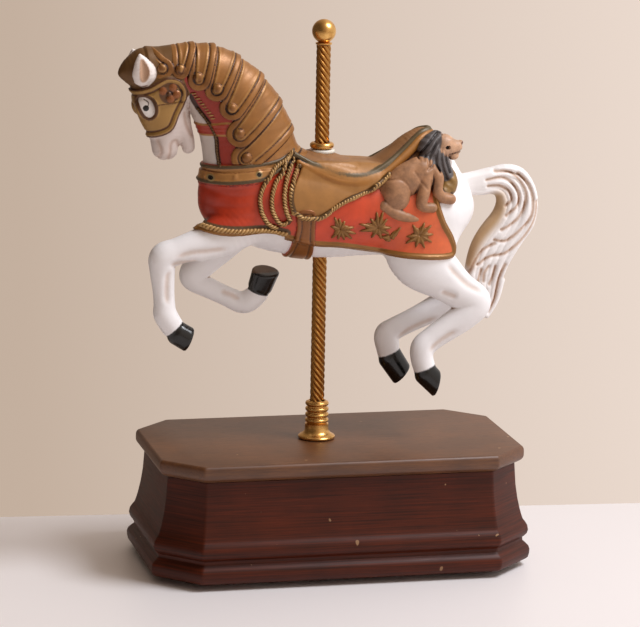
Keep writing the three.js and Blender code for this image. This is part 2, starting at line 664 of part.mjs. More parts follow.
// The little lion that crouches behind the saddle on the near side.
const lionBody = [[21.5, 162.5, -12.5, 6, 4.4], [28, 167.5, -13, 7.2, 5], [35, 171.8, -12.4, 6.4, 4.8], [40, 174.5, -10.6, 5.4, 4.4]];
const lionHaunch = [24.4, 161.8, -15, 5.7, 4, 8.2];
const lionFoot = [[19.5, 156.8, -15, 2.7, 2.6], [26, 154.2, -16, 2.5, 2.4], [33.4, 151, -16, 2.2, 2.2]];
const lionArmLow = [[36, 170.5, -14.4, 3.8, 3.4], [37.2, 163, -16, 2.7, 2.6], [38.4, 157.4, -16.2, 2.6, 2.5], [42.2, 155.6, -15.6, 2.2, 2.2]];
const lionArmUp = [[41.4, 172.6, -13.4, 3, 2.8], [43.4, 166, -14.6, 2.5, 2.4], [46.2, 160.9, -14.4, 2.3, 2.3], [50, 158.5, -13.4, 2.3, 2.3]];
const lionMane = [[43, 184.5, -7.6, 4, 4], [40.6, 179, -9, 6.4, 5.4], [43.6, 173.4, -9.6, 5.2, 4.8], [48.6, 168.6, -9, 2.8, 3]];
const lionSkull = [46.8, 181.6, -8, 5, 4.6, 5];
const lionMuzzle = [[50.4, 180.4, -8, 3.6, 3.4], [53, 180, -8, 2.6, 2.5]];
const lionChin = [51.2, 176.8, -8, 2.4, 2.2, 2];
const lionRock = [[44, 172, -6, 5, 5], [48.5, 166, -8, 4, 5], [44, 160.5, -11, 4, 4], [36, 154.5, -13, 3.4, 3]];

// Leaves on the cloth: middle, size and turn.
const leaves = [[0.4, 148.4, 5, 0.4], [15.2, 149.8, 6, 2.4], [31.6, 145.2, 6, 1.2]];
const leafLobes = 5;

function leaf([cx, cz, size, turn]) {
  const at = (x, z) => {
    const angle = Math.atan2(z - cz, x - cx) + turn;
    return Math.hypot(x - cx, z - cz) - size * (0.62 + 0.38 * Math.cos(leafLobes * angle));
  };
  return { lo: [cx - size, cz - size], hi: [cx + size, cz + size], at };
}

function buildHorse() {
  const clay = new Clay([-98, -22, 69], [95, 21, 231]);
  clay.join(limb(trunk), 1);
  clay.join(limb(neck), 6);
  clay.join([...limb(nearFore), ...limb(farFore)], 4);
  clay.join([...limb(nearHind), ...limb(farHind)], 4);
  clay.join(hooves.map((spec) => hoof(...spec)), 0.6);

  // cloth, breast band, girth and hem wrap the body on both sides
  clay.cover(region(blanketEdge), 0.8);
  clay.emboss(stroke(hem), 2, (away) => 0.8 * clamp(1.7 - away, 0, 1));
  clay.cover(region(bandEdge), 0.8);
  clay.cover(region(girthEdge), 1.1, (x, y, z) => z < 158);

  // saddle
  clay.join([...limb(seat), ...limb(saddleBack)], 1.5);
  clay.cover(region(skirtEdge), 1);
  clay.join([...limb(rim), ...limb(mirrored(rim))], 0.8);

  // neck plates, each standing over the next one back
  const bare = clay.d.slice();
  plates.forEach(([top, end]) => {
    const shape = tongue(top, end);
    const edge = clay.sideMap(shape, 1.5);
    const across = new THREE.Vector2(top[0] - end[0], top[1] - end[1]).normalize();
    const lo = [shape.lo[0], clay.lo[1], Math.max(shape.lo[1], 176)];
    const hi = [Math.min(shape.hi[0], 0), -clay.lo[1], shape.hi[1]];
    clay.visit(lo, hi, 1, (i, x, y, z) => {
      if (bare[i] > 6) return;
      const off = ((x - end[0]) * across.y - (z - end[1]) * across.x) / top[2];
      const thickness = 1 + 0.55 * clamp(off, -1, 1);
      clay.d[i] = Math.min(clay.d[i], softMax(bare[i] - thickness, edge(i), 0.5));
    });
  });
  clay.cover(region(collarEdge), 1);

  // head, mask and ears
  clay.join(limb(head), 3);
  clay.join(limb(chin), 1.6);
  clay.join(limb(peak), 2);
  clay.cover(region(maskEdge), 0.9);
  for (const side of [1, -1]) {
    const turn = side > 0 ? (run) => run : mirrored;
    clay.join(limb(turn(ear)), 0.8);
    clay.carve(limb(turn(earHollow)), 0.8);
    clay.carve([ball(eyeSpot[0], eyeSpot[1], side * -8.6, 4.3, 2.4, 4.8)], 0.6);
    clay.join([ball(eyeSpot[0], eyeSpot[1], side * -5.6, 3.4, 2.2, 4)], 0.6);
    clay.join([ball(rosette[0], rosette[1], side * -8, 4, 1.7, 4)], 0.6);
  }
  clay.carve(limb([[-66.6, 174, 0, 1.1, 9], [-67.2, 179.5, 0, 1.2, 9], [-67.4, 181.6, 0, 0.9, 9]]), 0.8);

  // rivets at the plate ends, studs on the breast band
  const rivets = plates.slice(0, 7).map(([, end]) => [end[0], end[1], 2.3]);
  const studs = [-56.6, -45.6, -36].map((x) => [x, 170.8, 1.4]);
  for (const [cx, cz, r] of [...rivets, ...studs]) {
    const spot = { lo: [cx, cz], hi: [cx, cz], at: (x, z) => Math.hypot(x - cx, z - cz) };
    clay.emboss(spot, r, (away) => 1.3 * clamp(1 - (away / r) ** 2, 0, 1));
  }

  // tail
  clay.join(Array.from({ length: tailLocks }, (_, i) => limb(tailLock(i), 3)).flat(), 1);

  // near side only: ropes, leaves and the lion
  clay.join(ropes.flatMap((run) => limb(run.map((p) => [...p, ropeRadius, ropeRadius]))), 0.6);
  for (const spec of leaves) clay.emboss(leaf(spec), 1, (away) => 0.9 * clamp(-away / 1.2, 0, 1), (x, y) => y < 0);
  clay.join(limb(lionRock), 1.5);
  clay.join(limb(lionBody), 1);
  clay.join([ball(...lionHaunch)], 1);
  clay.join([...limb(lionFoot), ...limb(lionArmLow), ...limb(lionArmUp)], 0.8);
  clay.join(limb(lionMane), 0.8);
  clay.join([ball(...lionSkull), ...limb(lionMuzzle), ball(...lionChin)], 1.2);

  const rough = clay.skin();
  const body = toSolid(toGeometry(thin(rough.points, rough.faces, horseFaces)));
  return fromSolid(body.subtract(upright(poleRadius + gap, bellyZ - 20, backZ + 20, 20))
    .subtract(upright(washerRadius + gap, backZ, backZ + 20, 20)));
}

// Upright cylinder about the pole.
function upright(radius, z0, z1, sides) {
  const geometry = new THREE.CylinderGeometry(radius, radius, z1 - z0, sides);
  geometry.rotateX(Math.PI / 2).translate(poleX, 0, (z0 + z1) / 2);
  return toSolid(geometry);
}

// ---------------------------------------------------------------- brass
function twistedRod(z0, z1) {
  const sides = 2 * poleStarts;
  const courses = [z0];
  const visible = (z) => (z > baseTopZ + ferruleHeight - 3 && z < bellyZ + 3) || z > backZ - 3;
  for (let z = z0 + poleLayer; z < z1 - poleLayer / 2; z += poleLayer) if (visible(z)) courses.push(z);
  courses.push(z1);
  const points = [];
  const faces = [];
  courses.forEach((z) => {
    const turn = (2 * Math.PI * (z - z0)) / poleLead;
    for (let s = 0; s < sides; s++) {
      const r = s % 2 ? poleRadius - poleGroove : poleRadius;
      const angle = turn + (2 * Math.PI * s) / sides;
      points.push([poleX + r * Math.cos(angle), r * Math.sin(angle), z]);
    }
  });
  const low = points.push([poleX, 0, z0]) - 1;
  const high = points.push([poleX, 0, z1]) - 1;
  for (let c = 0; c < courses.length; c++) {
    for (let s = 0; s < sides; s++) {
      const t = (s + 1) % sides;
      const [a, b] = [c * sides + s, c * sides + t];
      if (c === 0) faces.push([low, b, a]);
      if (c === courses.length - 1) faces.push([high, a, b]);
      else faces.push([a, b, b + sides], [a, b + sides, a + sides]);
    }
  }
  return toGeometry({ points, faces });
}

// Turned piece about the pole; the profile runs [radius, z] and closes on itself.
function turned(profile, sides) {
  const line = profile.map(([r, z]) => new THREE.Vector2(r, z));
  const geometry = new THREE.LatheGeometry(line, sides);
  geometry.rotateX(Math.PI / 2);
  geometry.translate(poleX, 0, 0);
  return fromSolid(toSolid(geometry));
}

function ferruleProfile() {
  const z0 = baseTopZ + gap;
  const bore = poleRadius + gap;
  const outer = [
    [ferruleFlange, z0], [ferruleFlange, z0 + 1.1], [ferruleFlange - 1, z0 + 1.7], [ferruleBody + 0.7, z0 + 2.3],
    [ferruleBody, z0 + 3.4], [ferruleBody, z0 + 6.4],
  ];
  const ribs = 4;
  const ribStart = z0 + 6.6;
  const ribPitch = (z0 + ferruleHeight - ribStart) / ribs;
  for (let i = 0; i < ribs; i++) {
    const z = ribStart + i * ribPitch;
    outer.push([ferruleBody - 0.8, z + 0.15 * ribPitch], [ferruleBody - 0.1, z + 0.4 * ribPitch]);
    outer.push([ferruleBody - 0.1, z + 0.8 * ribPitch]);
  }
  outer.push([ferruleBody - 1, z0 + ferruleHeight]);
  return [[bore, z0], ...outer, [bore, z0 + ferruleHeight], [bore, z0]];
}

function ringProfile(z, height, radius, bulge, turns) {
  const bore = poleRadius + gap;
  const line = [[bore, z]];
  for (let i = 0; i <= turns; i++) {
    const a = (Math.PI * i) / turns - Math.PI / 2;
    line.push([radius - bulge + bulge * Math.cos(a), z + height / 2 + (height / 2) * Math.sin(a)]);
  }
  return [...line, [bore, z + height], [bore, z]];
}

function finialGeometry(z0) {
  const line = [new THREE.Vector2(0, z0), new THREE.Vector2(poleRadius + 0.4, z0), new THREE.Vector2(poleRadius + 0.4, z0 + 0.6)];
  const bands = 9;
  const first = Math.asin((z0 + 1.4 - ballZ) / ballRadius);
  for (let i = 0; i <= bands; i++) {
    const a = lerp(first, Math.PI / 2, i / bands);
    line.push(new THREE.Vector2(i === bands ? 0 : ballRadius * Math.cos(a), ballZ + ballRadius * Math.sin(a)));
  }
  const geometry = new THREE.LatheGeometry(line, 16);
  geometry.rotateX(Math.PI / 2);
  geometry.translate(poleX, 0, 0);
  return geometry;
}

// ---------------------------------------------------------------- wooden base
// Stacked octagons: each level is [z, how far it stands out from the top slab].
function octagonStack(levels) {
  const points = [];
  const faces = [];
  for (const [z, out] of levels) {
    const [hx, hy] = [baseLength / 2 + out, baseWidth / 2 + out];
    const c = baseCorner + out * (2 - Math.SQRT2);
    for (const [sx, sy] of [[1, 1], [-1, 1], [-1, -1], [1, -1]]) {
      const pair = [[sx * hx, sy * (hy - c), z], [sx * (hx - c), sy * hy, z]];
      points.push(...(sx * sy > 0 ? pair : pair.reverse()));
    }
  }
  const low = points.push([0, 0, levels[0][0]]) - 1;
  const high = points.push([0, 0, levels[levels.length - 1][0]]) - 1;
  for (let l = 0; l < levels.length; l++) {
    for (let s = 0; s < 8; s++) {
      const [a, b] = [l * 8 + s, l * 8 + ((s + 1) % 8)];
      if (l === 0) faces.push([low, b, a]);
      if (l === levels.length - 1) faces.push([high, a, b]);
      else faces.push([a, b, b + 8], [a, b + 8, a + 8]);
    }
  }
  return toGeometry({ points, faces });
}

const slabBottomZ = baseTopZ - slabThickness;
const caseTopZ = slabBottomZ - gap;
const caseLevels = [
  [footHeight, 1.6], [footHeight + 1, 2.8], [5.4, 3.3], [7.4, 3.4], [8.8, 2.9], [10.4, 1.2], [11.2, 0.4], [12.4, 0.4],
  [13.2, 1.2], [14.4, 2.2], [16, 2.6], [18, 2.2], [19.6, 1.2], [21, 0.2], [25, -1], [30, -2.1], [36, -3],
  [caseTopZ, -slabInset],
];
const slabLevels = [
  [slabBottomZ, -slabInset + 0.4], [slabBottomZ + 0.9, -1.6], [slabBottomZ + 2.2, -0.3], [slabBottomZ + 3.8, 0],
  [baseTopZ - 1.5, -0.1], [baseTopZ - 0.5, -0.5], [baseTopZ, -1.3],
];

function footGeometry() {
  const line = [[0, 0], [footRadius - 0.5, 0], [footRadius, 0.5], [footRadius, footHeight - gap], [0, footHeight - gap]];
  const geometry = new THREE.LatheGeometry(line.map(([r, z]) => new THREE.Vector2(r, z)), 12);
  geometry.rotateX(Math.PI / 2);
  return geometry;
}

// ---------------------------------------------------------------- assembly
const carousel = new THREE.Group();

function place(name, geometry, material, x = 0, y = 0, z = 0) {
  const mesh = new THREE.Mesh(geometry, material);
  mesh.name = name;
  mesh.position.set(x, y, z);
  carousel.add(mesh);
}

place('base_case', octagonStack(caseLevels), paint.wood);
place('base_top', octagonStack(slabLevels), paint.woodTop);
const footX = baseLength / 2 - footInset;
const footY = baseWidth / 2 - footInset;
place('foot_front_left', footGeometry(), paint.rubber, -footX, -footY);
place('foot_front_right', footGeometry(), paint.rubber, footX, -footY);
place('foot_back_left', footGeometry(), paint.rubber, -footX, footY);
place('foot_back_right', footGeometry(), paint.rubber, footX, footY);
place('ferrule', turned(ferruleProfile(), 16), paint.brass);
const collarZ = backZ + washerHeight + 2 * gap;
place('washer', turned(ringProfile(backZ + gap, washerHeight, washerRadius, 0.5, 3), 16), paint.washer);
place('collar', turned(ringProfile(collarZ, collarHeight, collarRadius, 1.3, 6), 16), paint.brass);
place('finial', finialGeometry(ballZ - ballRadius - 0.6), paint.brass);
place('pole', twistedRod(baseTopZ + gap, ballZ - ballRadius - 0.6 - gap), paint.brass);
place('horse', buildHorse(), paint.porcelain);

export default carousel;
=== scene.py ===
# Porcelain carousel horse on a twisted brass pole and a mahogany-stained box base.
# Tables are in millimetres, in the part's own frame, with +Z up and the horse facing -X.
import bpy
import bmesh
import math
import time
from concurrent.futures import ThreadPoolExecutor
import numpy as np
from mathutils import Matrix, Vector


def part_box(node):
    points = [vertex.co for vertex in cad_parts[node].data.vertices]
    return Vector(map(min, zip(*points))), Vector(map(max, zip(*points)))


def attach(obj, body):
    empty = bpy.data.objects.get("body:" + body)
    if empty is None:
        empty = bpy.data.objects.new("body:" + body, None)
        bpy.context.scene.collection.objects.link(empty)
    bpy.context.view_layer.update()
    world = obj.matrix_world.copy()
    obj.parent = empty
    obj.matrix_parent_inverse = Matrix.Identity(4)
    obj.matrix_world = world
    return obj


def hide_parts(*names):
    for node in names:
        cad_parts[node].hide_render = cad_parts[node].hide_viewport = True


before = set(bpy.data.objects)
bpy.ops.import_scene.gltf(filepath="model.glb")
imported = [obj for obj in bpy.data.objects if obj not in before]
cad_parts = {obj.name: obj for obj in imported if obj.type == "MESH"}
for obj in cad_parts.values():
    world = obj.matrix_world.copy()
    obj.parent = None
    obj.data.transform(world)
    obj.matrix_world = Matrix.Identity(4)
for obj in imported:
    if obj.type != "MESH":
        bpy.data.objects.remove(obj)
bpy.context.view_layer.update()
started = time.time()
mm = 0.001
far = 60.0


def addObject(name, data):
    made = bpy.data.objects.new(name, data)
    bpy.context.scene.collection.objects.link(made)
    return made


def report(stage):
    print(f"{stage}: {time.time() - started:.0f} s")


def boxOf(node):
    low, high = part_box(node)
    return np.array(low) / mm, np.array(high) / mm


def heightsOf(node):
    low, high = boxOf(node)
    return low[2], high[2]


poleLow, poleHigh = boxOf("pole")
poleX = (poleLow[0] + poleHigh[0]) / 2
shift = np.array([poleX + 5.6, (poleLow[1] + poleHigh[1]) / 2, 0])  # tables below have the pole at -5.6, 0


def toLinear(hexText):
    parts = [int(hexText[i:i + 2], 16) / 255 for i in (0, 2, 4)]
    return tuple(c / 12.92 if c <= 0.04045 else ((c + 0.055) / 1.055) ** 2.4 for c in parts) + (1.0,)


def addNode(tree, kind, inputs=None, out=0, **settings):
    # adds a node with its settings, values and links, and gives back one output, or all of them
    node = tree.nodes.new(kind)
    for key, value in settings.items():
        setattr(node, key, value)
    for key, value in (inputs or {}).items():
        if isinstance(value, bpy.types.NodeSocket):
            tree.links.new(value, node.inputs[key])
        else:
            node.inputs[key].default_value = value
    return node.outputs if out == "all" else node.outputs[out] if node.outputs else None


# Clay: distances at a set of points, shaped by one form after another, then skinned.
def flow(stations, steps, closed=False):
    p = np.array(stations, float)
    count = len(p)
    run = []
    for i in range(count if closed else count - 1):
        a, b, c, d = [p[(i + o) % count if closed else min(max(i + o, 0), count - 1)] for o in (-1, 0, 1, 2)]
        for s in range(steps):
            t = s / steps
            run.append(b + 0.5 * t * (c - a + t * (2 * a - 5 * b + 4 * c - d + t * (3 * (b - c) + d - a))))
    if not closed:
        run.append(p[-1])
    return np.array(run)


def softMin(a, b, k):
    h = np.maximum(k - np.abs(a - b), 0) / k
    return np.minimum(a, b) - h * h * k * 0.25


def softMax(a, b, k):
    return -softMin(-a, -b, k)


def smoothStep(value, low, high):
    t = np.clip((value - low) / (high - low), 0, 1)
    return t * t * (3 - 2 * t)


twins = {}


def mirrored(stations):
    if id(stations) not in twins:
        twins[id(stations)] = stations, [(s[0], s[1], -s[2], *s[3:]) for s in stations]
    return twins[id(stations)][1]


limbs = {}
maps = {}


def limbOf(stations, steps):
    # the spans of a limb, each with its start, direction, length, depth and width axes
    key = (id(stations), steps)
    if key not in limbs:
        run = flow(stations, steps)
        place = run[:, [0, 2, 1]]
        axis = np.diff(place, axis=0)
        length = np.maximum(np.linalg.norm(axis, axis=1), 1e-3)
        axis /= length[:, None]
        side = np.array([0, 1, 0]) - axis * axis[:, 1:2]
        side /= np.linalg.norm(side, axis=1)[:, None]
        size = np.maximum(run[:, 3], run[:, 4])[:, None]
        low = np.minimum((place - size)[:-1], (place - size)[1:])
        high = np.maximum((place + size)[:-1], (place + size)[1:])
        limbs[key] = (stations, low, high, place[:-1], axis, length, np.cross(axis, side), side, run[:, 3:5])
    return limbs[key][1:]


def limbAt(p, stations, steps, reach):
    # distance to a limb of elliptical section; stations run x, z, y, half depth, half width
    low, high, start, axis, length, depth, side, size = limbOf(stations, steps)
    pick = np.nonzero(((low - reach < p.max(0)) & (high + reach > p.min(0))).all(1))[0]
    if not len(pick):
        return np.full(len(p), far)
    local = [(p @ v[pick].T) - (start[pick] * v[pick]).sum(1) for v in (axis, depth, side)]
    along, n, s = [v.astype(np.float32) for v in local]
    t = np.clip(along / length[pick].astype(np.float32), 0, 1)
    rd, rs = [(size[pick, k] + t * (size[pick + 1, k] - size[pick, k])).astype(np.float32) for k in (0, 1)]
    rc = np.minimum(rd, rs)
    c = (along - t * length[pick].astype(np.float32)) / rc
    n /= rd
    s /= rs
    k0 = np.sqrt(n * n + s * s + c * c) + 1e-5
    n /= rd
    s /= rs
    c /= rc
    d = (k0 * (k0 - 1) / (np.sqrt(n * n + s * s + c * c) + 1e-5)).min(1)
    return np.where(d > reach, far, d)


def segmentsAt(x, z, run, closed):
    best = np.full(x.shape, 1e9, np.float32)
    inside = np.zeros(x.shape, bool)
    for i in range(0 if closed else 1, len(run)):
        (ax, az), (bx, bz) = run[i - 1][:2], run[i][:2]
        ex, ez = bx - ax, bz - az
        t = np.clip(((x - ax) * ex + (z - az) * ez) / (ex * ex + ez * ez + 1e-9), 0, 1)
        best = np.minimum(best, (x - ax - t * ex) ** 2 + (z - az - t * ez) ** 2)
        if closed and abs(ez) > 1e-9:
            inside ^= ((az > z) != (bz > z)) & (x < ax + ex * (z - az) / ez)
    return np.sqrt(best), inside


def mapAt(p, line, closed, margin=9, step=0.25):
    # distances from a line or outline seen from the side, worked out once on a fine sheet
    key = (id(line), closed)
    if key not in maps:
        run = flow([q[:2] for q in line], 5, closed)
        low = np.floor(run.min(0) - margin)
        count = np.ceil((run.max(0) + margin - low) / step).astype(int) + 1
        sheet = np.meshgrid(*[(low[a] + np.arange(count[a]) * step).astype(np.float32) for a in (0, 1)], indexing="ij")
        away, inside = segmentsAt(*sheet, run, closed)
        maps[key] = (line, low, count, np.where(inside, -away, away))
    _, low, count, sheet = maps[key]
    u, v = [np.clip((p[:, axis] - low[a]) / step, 0, count[a] - 1.001) for a, axis in enumerate((0, 2))]
    i, j = u.astype(int), v.astype(int)
    u, v = u - i, v - j
    return ((sheet[i, j] * (1 - u) + sheet[i + 1, j] * u) * (1 - v)
            + (sheet[i, j + 1] * (1 - u) + sheet[i + 1, j + 1] * u) * v)


def regionAt(p, outline):
    return mapAt(p, outline, True)


def strokeAt(p, line):
    return mapAt(p, line, False)


def spotAt(p, spot):
    return np.hypot(p[:, 0] - spot[0], p[:, 2] - spot[1])


def beadAt(distance, bead):
    # height of a rounded bead that runs at a set distance; the bead is its place, width and height
    middle, width, height = bead
    return height * np.exp(-((distance - middle) / width) ** 2)


def fadeAt(p, line):
    # 1 along the middle of a line, falling to 0 at its ends
    run = np.array([q[:2] for q in line])
    middle = (run[0] + run[-1]) / 2
    reach = np.hypot(*(run - middle).T).max()
    return 1 - smoothStep(spotAt(p, middle), 0.6 * reach, 1.15 * reach)


def tongueAt(p, top, end):
    # distance to a flat tongue with round ends; each end is x, z and radius
    x, z = p[:, 0], p[:, 2]
    (ax, az, ra), (bx, bz, rb) = top, end
    t = np.clip(((x - ax) * (bx - ax) + (z - az) * (bz - az)) / ((bx - ax) ** 2 + (bz - az) ** 2), 0, 1)
    return np.hypot(x - ax - (bx - ax) * t, z - az - (bz - az) * t) - ra - (rb - ra) * t


class Clay:
    # the points p, and their distance d from the form so far
    def __init__(self, points):
        self.p = points
        self.low, self.high = points.min(0), points.max(0)
        self.d = np.full(len(points), far)

    def near(self, low, high, reach, skin=None):
        if any(low[a] is not None and (low[a] - reach > self.high[a] or high[a] + reach < self.low[a])
               for a in range(3)):
            return np.zeros(0, int)
        keep = np.ones(len(self.p), bool) if skin is None else skin()
        for axis in range(3):
            if low[axis] is not None:
                keep &= (self.p[:, axis] > low[axis] - reach) & (self.p[:, axis] < high[axis] + reach)
        return np.nonzero(keep)[0]

    def gather(self, chains, reach, steps=4):
        return np.minimum.reduce([limbAt(self.p, stations, steps, reach) for stations in chains])

    def join(self, chains, blend, steps=4):
        self.d = softMin(self.d, self.gather(chains, blend + 5, steps), blend)

    def carve(self, chains, blend, steps=4):
        self.d = softMax(self.d, -self.gather(chains, blend + 5, steps), blend)

    def ball(self, spec, blend, cut=False):
        x, z, y, rx, ry, rz = spec
        centre, size = np.array([x, y, z]), np.array([rx, ry, rz])
        pick = self.near(centre - size, centre + size, blend + 5)
        if not len(pick):
            return
        q = (self.p[pick] - centre) / size
        k0 = np.sqrt((q * q).sum(1)) + 1e-5
        d = k0 * (k0 - 1) / (np.sqrt(((q / size) ** 2).sum(1)) + 1e-5)
        self.d[pick] = softMax(self.d[pick], -d, blend) if cut else softMin(self.d[pick], d, blend)

    def skin(self, shape, reach, side=None):
        line = np.array([q[:2] for q in shape])
        low, high = line.min(0), line.max(0)
        return self.near((low[0], None, low[1]), (high[0], None, high[1]), reach,
                         lambda: (np.abs(self.d) < 6) & (True if side is None else side(self.p)))

    def cover(self, outline, thickness, soft=0.6, side=None):
        pick = self.skin(outline, 2, side)
        if not len(pick):
            return
        edge = regionAt(self.p[pick], outline)
        self.d[pick] = np.minimum(self.d[pick], softMax(self.d[pick] - thickness, edge, soft))

    def swell(self, distance, bead, within=6):
        # a bead along an outline, or a groove if its height is below zero
        self.d = self.d - np.where(np.abs(self.d) < within, beadAt(distance, bead), 0)

    def ridge(self, line, width, height, side=None, fade=False):
        # a rounded ridge along a line seen from the side, or a groove if the height is below zero
        pick = self.skin(line, width * 2, side)
        if not len(pick):
            return
        away = strokeAt(self.p[pick], line) / width
        rise = height * np.exp(-1.5 * away * away)
        self.d[pick] -= rise * fadeAt(self.p[pick], line) if fade else rise


def limbsAt(p, chains, blend=0.5, steps=4):
    clay = Clay(p)
    clay.join(chains, blend, steps)
    return clay.d


def insideOf(outline, least=-far, most=far):
    return lambda p: np.clip(-regionAt(p, outline), least, most)


def evaluate(form, points):
    # works through the points in compact batches, several at a time
    if not len(points):
        return np.zeros(0)
    cube = np.floor(points / 11).astype(int) + 50
    order = np.argsort((cube[:, 0] * 100 + cube[:, 2]) * 100 + cube[:, 1], kind="stable")
    batches = np.array_split(order, max(1, len(points) // 4000))
    result = np.empty(len(points))
    with ThreadPoolExecutor(4) as workers:
        for batch, value in zip(batches, workers.map(lambda b: form(points[b]), batches)):
            result[batch] = value
    return result


def skinOf(form, low, high, cell):
    # finds the blocks that the surface runs through, then gives each fine cell in them one point
    low, high = np.array(low, float), np.array(high, float)
    ratio = 4
    block = cell * ratio
    n = np.ceil((high - low) / block).astype(int)
    coarse = np.stack(np.meshgrid(*[np.arange(k + 1) for k in n], indexing="ij"), -1).reshape(-1, 3)
    d = evaluate(form, low + coarse * block).reshape(n + 1)
    close = np.minimum.reduce([np.abs(d[a:a + n[0], b:b + n[1], c:c + n[2]])
                               for a in (0, 1) for b in (0, 1) for c in (0, 1)]) < block * 1.3
    m = n * ratio + 1
    want = np.zeros(m, bool)
    base = np.argwhere(close) * ratio
    for offset in np.ndindex(ratio + 1, ratio + 1, ratio + 1):
        at = base + offset
        want[at[:, 0], at[:, 1], at[:, 2]] = True
    value = np.full(m, far, np.float32)
    at = np.argwhere(want)
    value[want] = evaluate(form, low + at * cell)
    active = close.repeat(ratio, 0).repeat(ratio, 1).repeat(ratio, 2)
    inside = value < 0
    corner = [(a, b, c) for c in (0, 1) for b in (0, 1) for a in (0, 1)]
    full = sum(inside[a:a + m[0] - 1, b:b + m[1] - 1, c:c + m[2] - 1].astype(np.int8) for a, b, c in corner)
    cells = np.argwhere(active & (full > 0) & (full < 8))
    number = np.full(m, -1, np.int32)
    number[cells[:, 0], cells[:, 1], cells[:, 2]] = np.arange(len(cells))
    total, hits = np.zeros((len(cells), 3)), np.zeros(len(cells))
    at8 = [value[cells[:, 0] + a, cells[:, 1] + b, cells[:, 2] + c] for a, b, c in corner]
    for a in range(8):
        for bit in (1, 2, 4):
            if a & bit:
                continue
            u, v = at8[a], at8[a | bit]
            cross = (u < 0) != (v < 0)
            t = np.where(cross, u / np.where(cross, u - v, 1), 0)[:, None]
            start, end = np.array(corner[a]), np.array(corner[a | bit])
            total += np.where(cross[:, None], start + (end - start) * t, 0)
            hits += cross
    points = low + (cells + total / hits[:, None]) * cell
    quads = []
    for axis in range(3):
        step = np.zeros(3, int)
        step[axis] = 1
        u, v = np.roll(step, 1), np.roll(step, 2)
        size = m - step
        here = inside[:size[0], :size[1], :size[2]]
        there = inside[step[0]:, step[1]:, step[2]:]
        at = np.argwhere((here != there) & want[:size[0], :size[1], :size[2]])
        at = at[((at - u - v) >= 0).all(1)]
        ring = np.stack([number[tuple((at - o).T)] for o in (u + v, v, 0 * u, u)], 1)
        solid = inside[tuple(at.T)]
        ring = np.where(solid[:, None], ring, ring[:, ::-1])
        quads.append(ring[(ring >= 0).all(1)])
    quads = np.concatenate(quads)
    points, normals = settle(form, points, cell)
    return points, quads, normals


def slope(form, points, step):
    # distance and the way it grows
    here = evaluate(form, points)
    return here, np.stack([evaluate(form, points + axis * step) - here for axis in np.eye(3)], 1) / step


def settle(form, points, cell):
    # moves the points onto the surface and gives their normals
    here, grad = slope(form, points, 0.08)
    size = (grad ** 2).sum(1) + 1e-6
    move = np.where(size > 0.3, np.clip(here / size, -cell, cell), 0)
    return points - grad * move[:, None], grad / np.sqrt(size)[:, None]


def spotsOn(form, places, side=-1, reach=27, step=0.3):
    # looks in from one side at each x, z place for the surface, and gives the spot and the way it faces
    depth = side * (reach - np.arange(0, reach, step))
    rays = np.array([[(x, y, z) for y in depth] for x, z in places])
    d = evaluate(form, rays.reshape(-1, 3)).reshape(len(rays), len(depth))
    first = np.argmax(d < 0, axis=1)
    picked = np.maximum(first, 1)
    here, before = d[np.arange(len(d)), picked], d[np.arange(len(d)), picked - 1]
    y = depth[picked - 1] + (depth[picked] - depth[picked - 1]) * before / (before - here + 1e-6)
    spots = np.stack([rays[:, 0, 0], y, rays[:, 0, 2]], 1)
    _, facing = slope(form, spots, 0.2)
    facing = facing / (np.linalg.norm(facing, axis=1)[:, None] + 1e-6)
    return [(s, n) for s, n, hit in zip(spots, facing, first) if hit > 0]


def meshFrom(name, points, faces):
    mesh = bpy.data.meshes.new(name)
    sides = faces.shape[1]
    mesh.vertices.add(len(points))
    mesh.vertices.foreach_set("co", ((points + shift) * mm).ravel().astype(np.float32))
    mesh.loops.add(faces.size)
    mesh.loops.foreach_set("vertex_index", faces.ravel().astype(np.int32))
    mesh.polygons.add(len(faces))
    mesh.polygons.foreach_set("loop_start", np.arange(0, faces.size, sides, dtype=np.int32))
    mesh.update(calc_edges=True)
    mesh.validate()
    mesh.polygons.foreach_set("use_smooth", np.ones(len(mesh.polygons), bool))
    return addObject(name, mesh)


# the short reach gives the brown wash in grooves; the wide reach gives painted shade, darkening the wider hollows
hollows = {"groove": 0.9, "hollowShade": 2.6}  # how far out from the surface a dip is felt


def sculpt(name, form, low, high, cell, marks, material):
    # marks: names and functions that give each point a painter's value
    points, quads, normals = skinOf(form, low, high, cell)
    piece = meshFrom(name, points, quads)
    used = {node.attribute_name for node in material.node_tree.nodes if node.type == "ATTRIBUTE"}
    values = {key: 1 - np.clip(evaluate(form, points + normals * reach) / reach, -0.3, 1.4)
              for key, reach in hollows.items() if key in used}
    values.update({key: evaluate(work, points) for key, work in marks.items()})
    for key, value in values.items():
        layer = piece.data.attributes.new(key, "FLOAT", "POINT")
        layer.data.foreach_set("value", np.asarray(value, np.float32))
    piece.data.materials.append(material)
    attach(piece, "root")
    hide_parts("horse")
    report(f"{name} carved, {len(quads)} faces")
    return piece


# Geometry Nodes: a tree with named inputs, put on a mesh and turned into a plain mesh.
def newTree(name, inputs):
    tree = bpy.data.node_groups.new(name, "GeometryNodeTree")
    tree.interface.new_socket("Geometry", in_out="INPUT", socket_type="NodeSocketGeometry")
    for label, kind, value in inputs:
        socket = tree.interface.new_socket(label, in_out="INPUT", socket_type=kind)
        if value is not None:
            socket.default_value = value
    tree.interface.new_socket("Geometry", in_out="OUTPUT", socket_type="NodeSocketGeometry")
    return tree, addNode(tree, "NodeGroupInput", out="all")


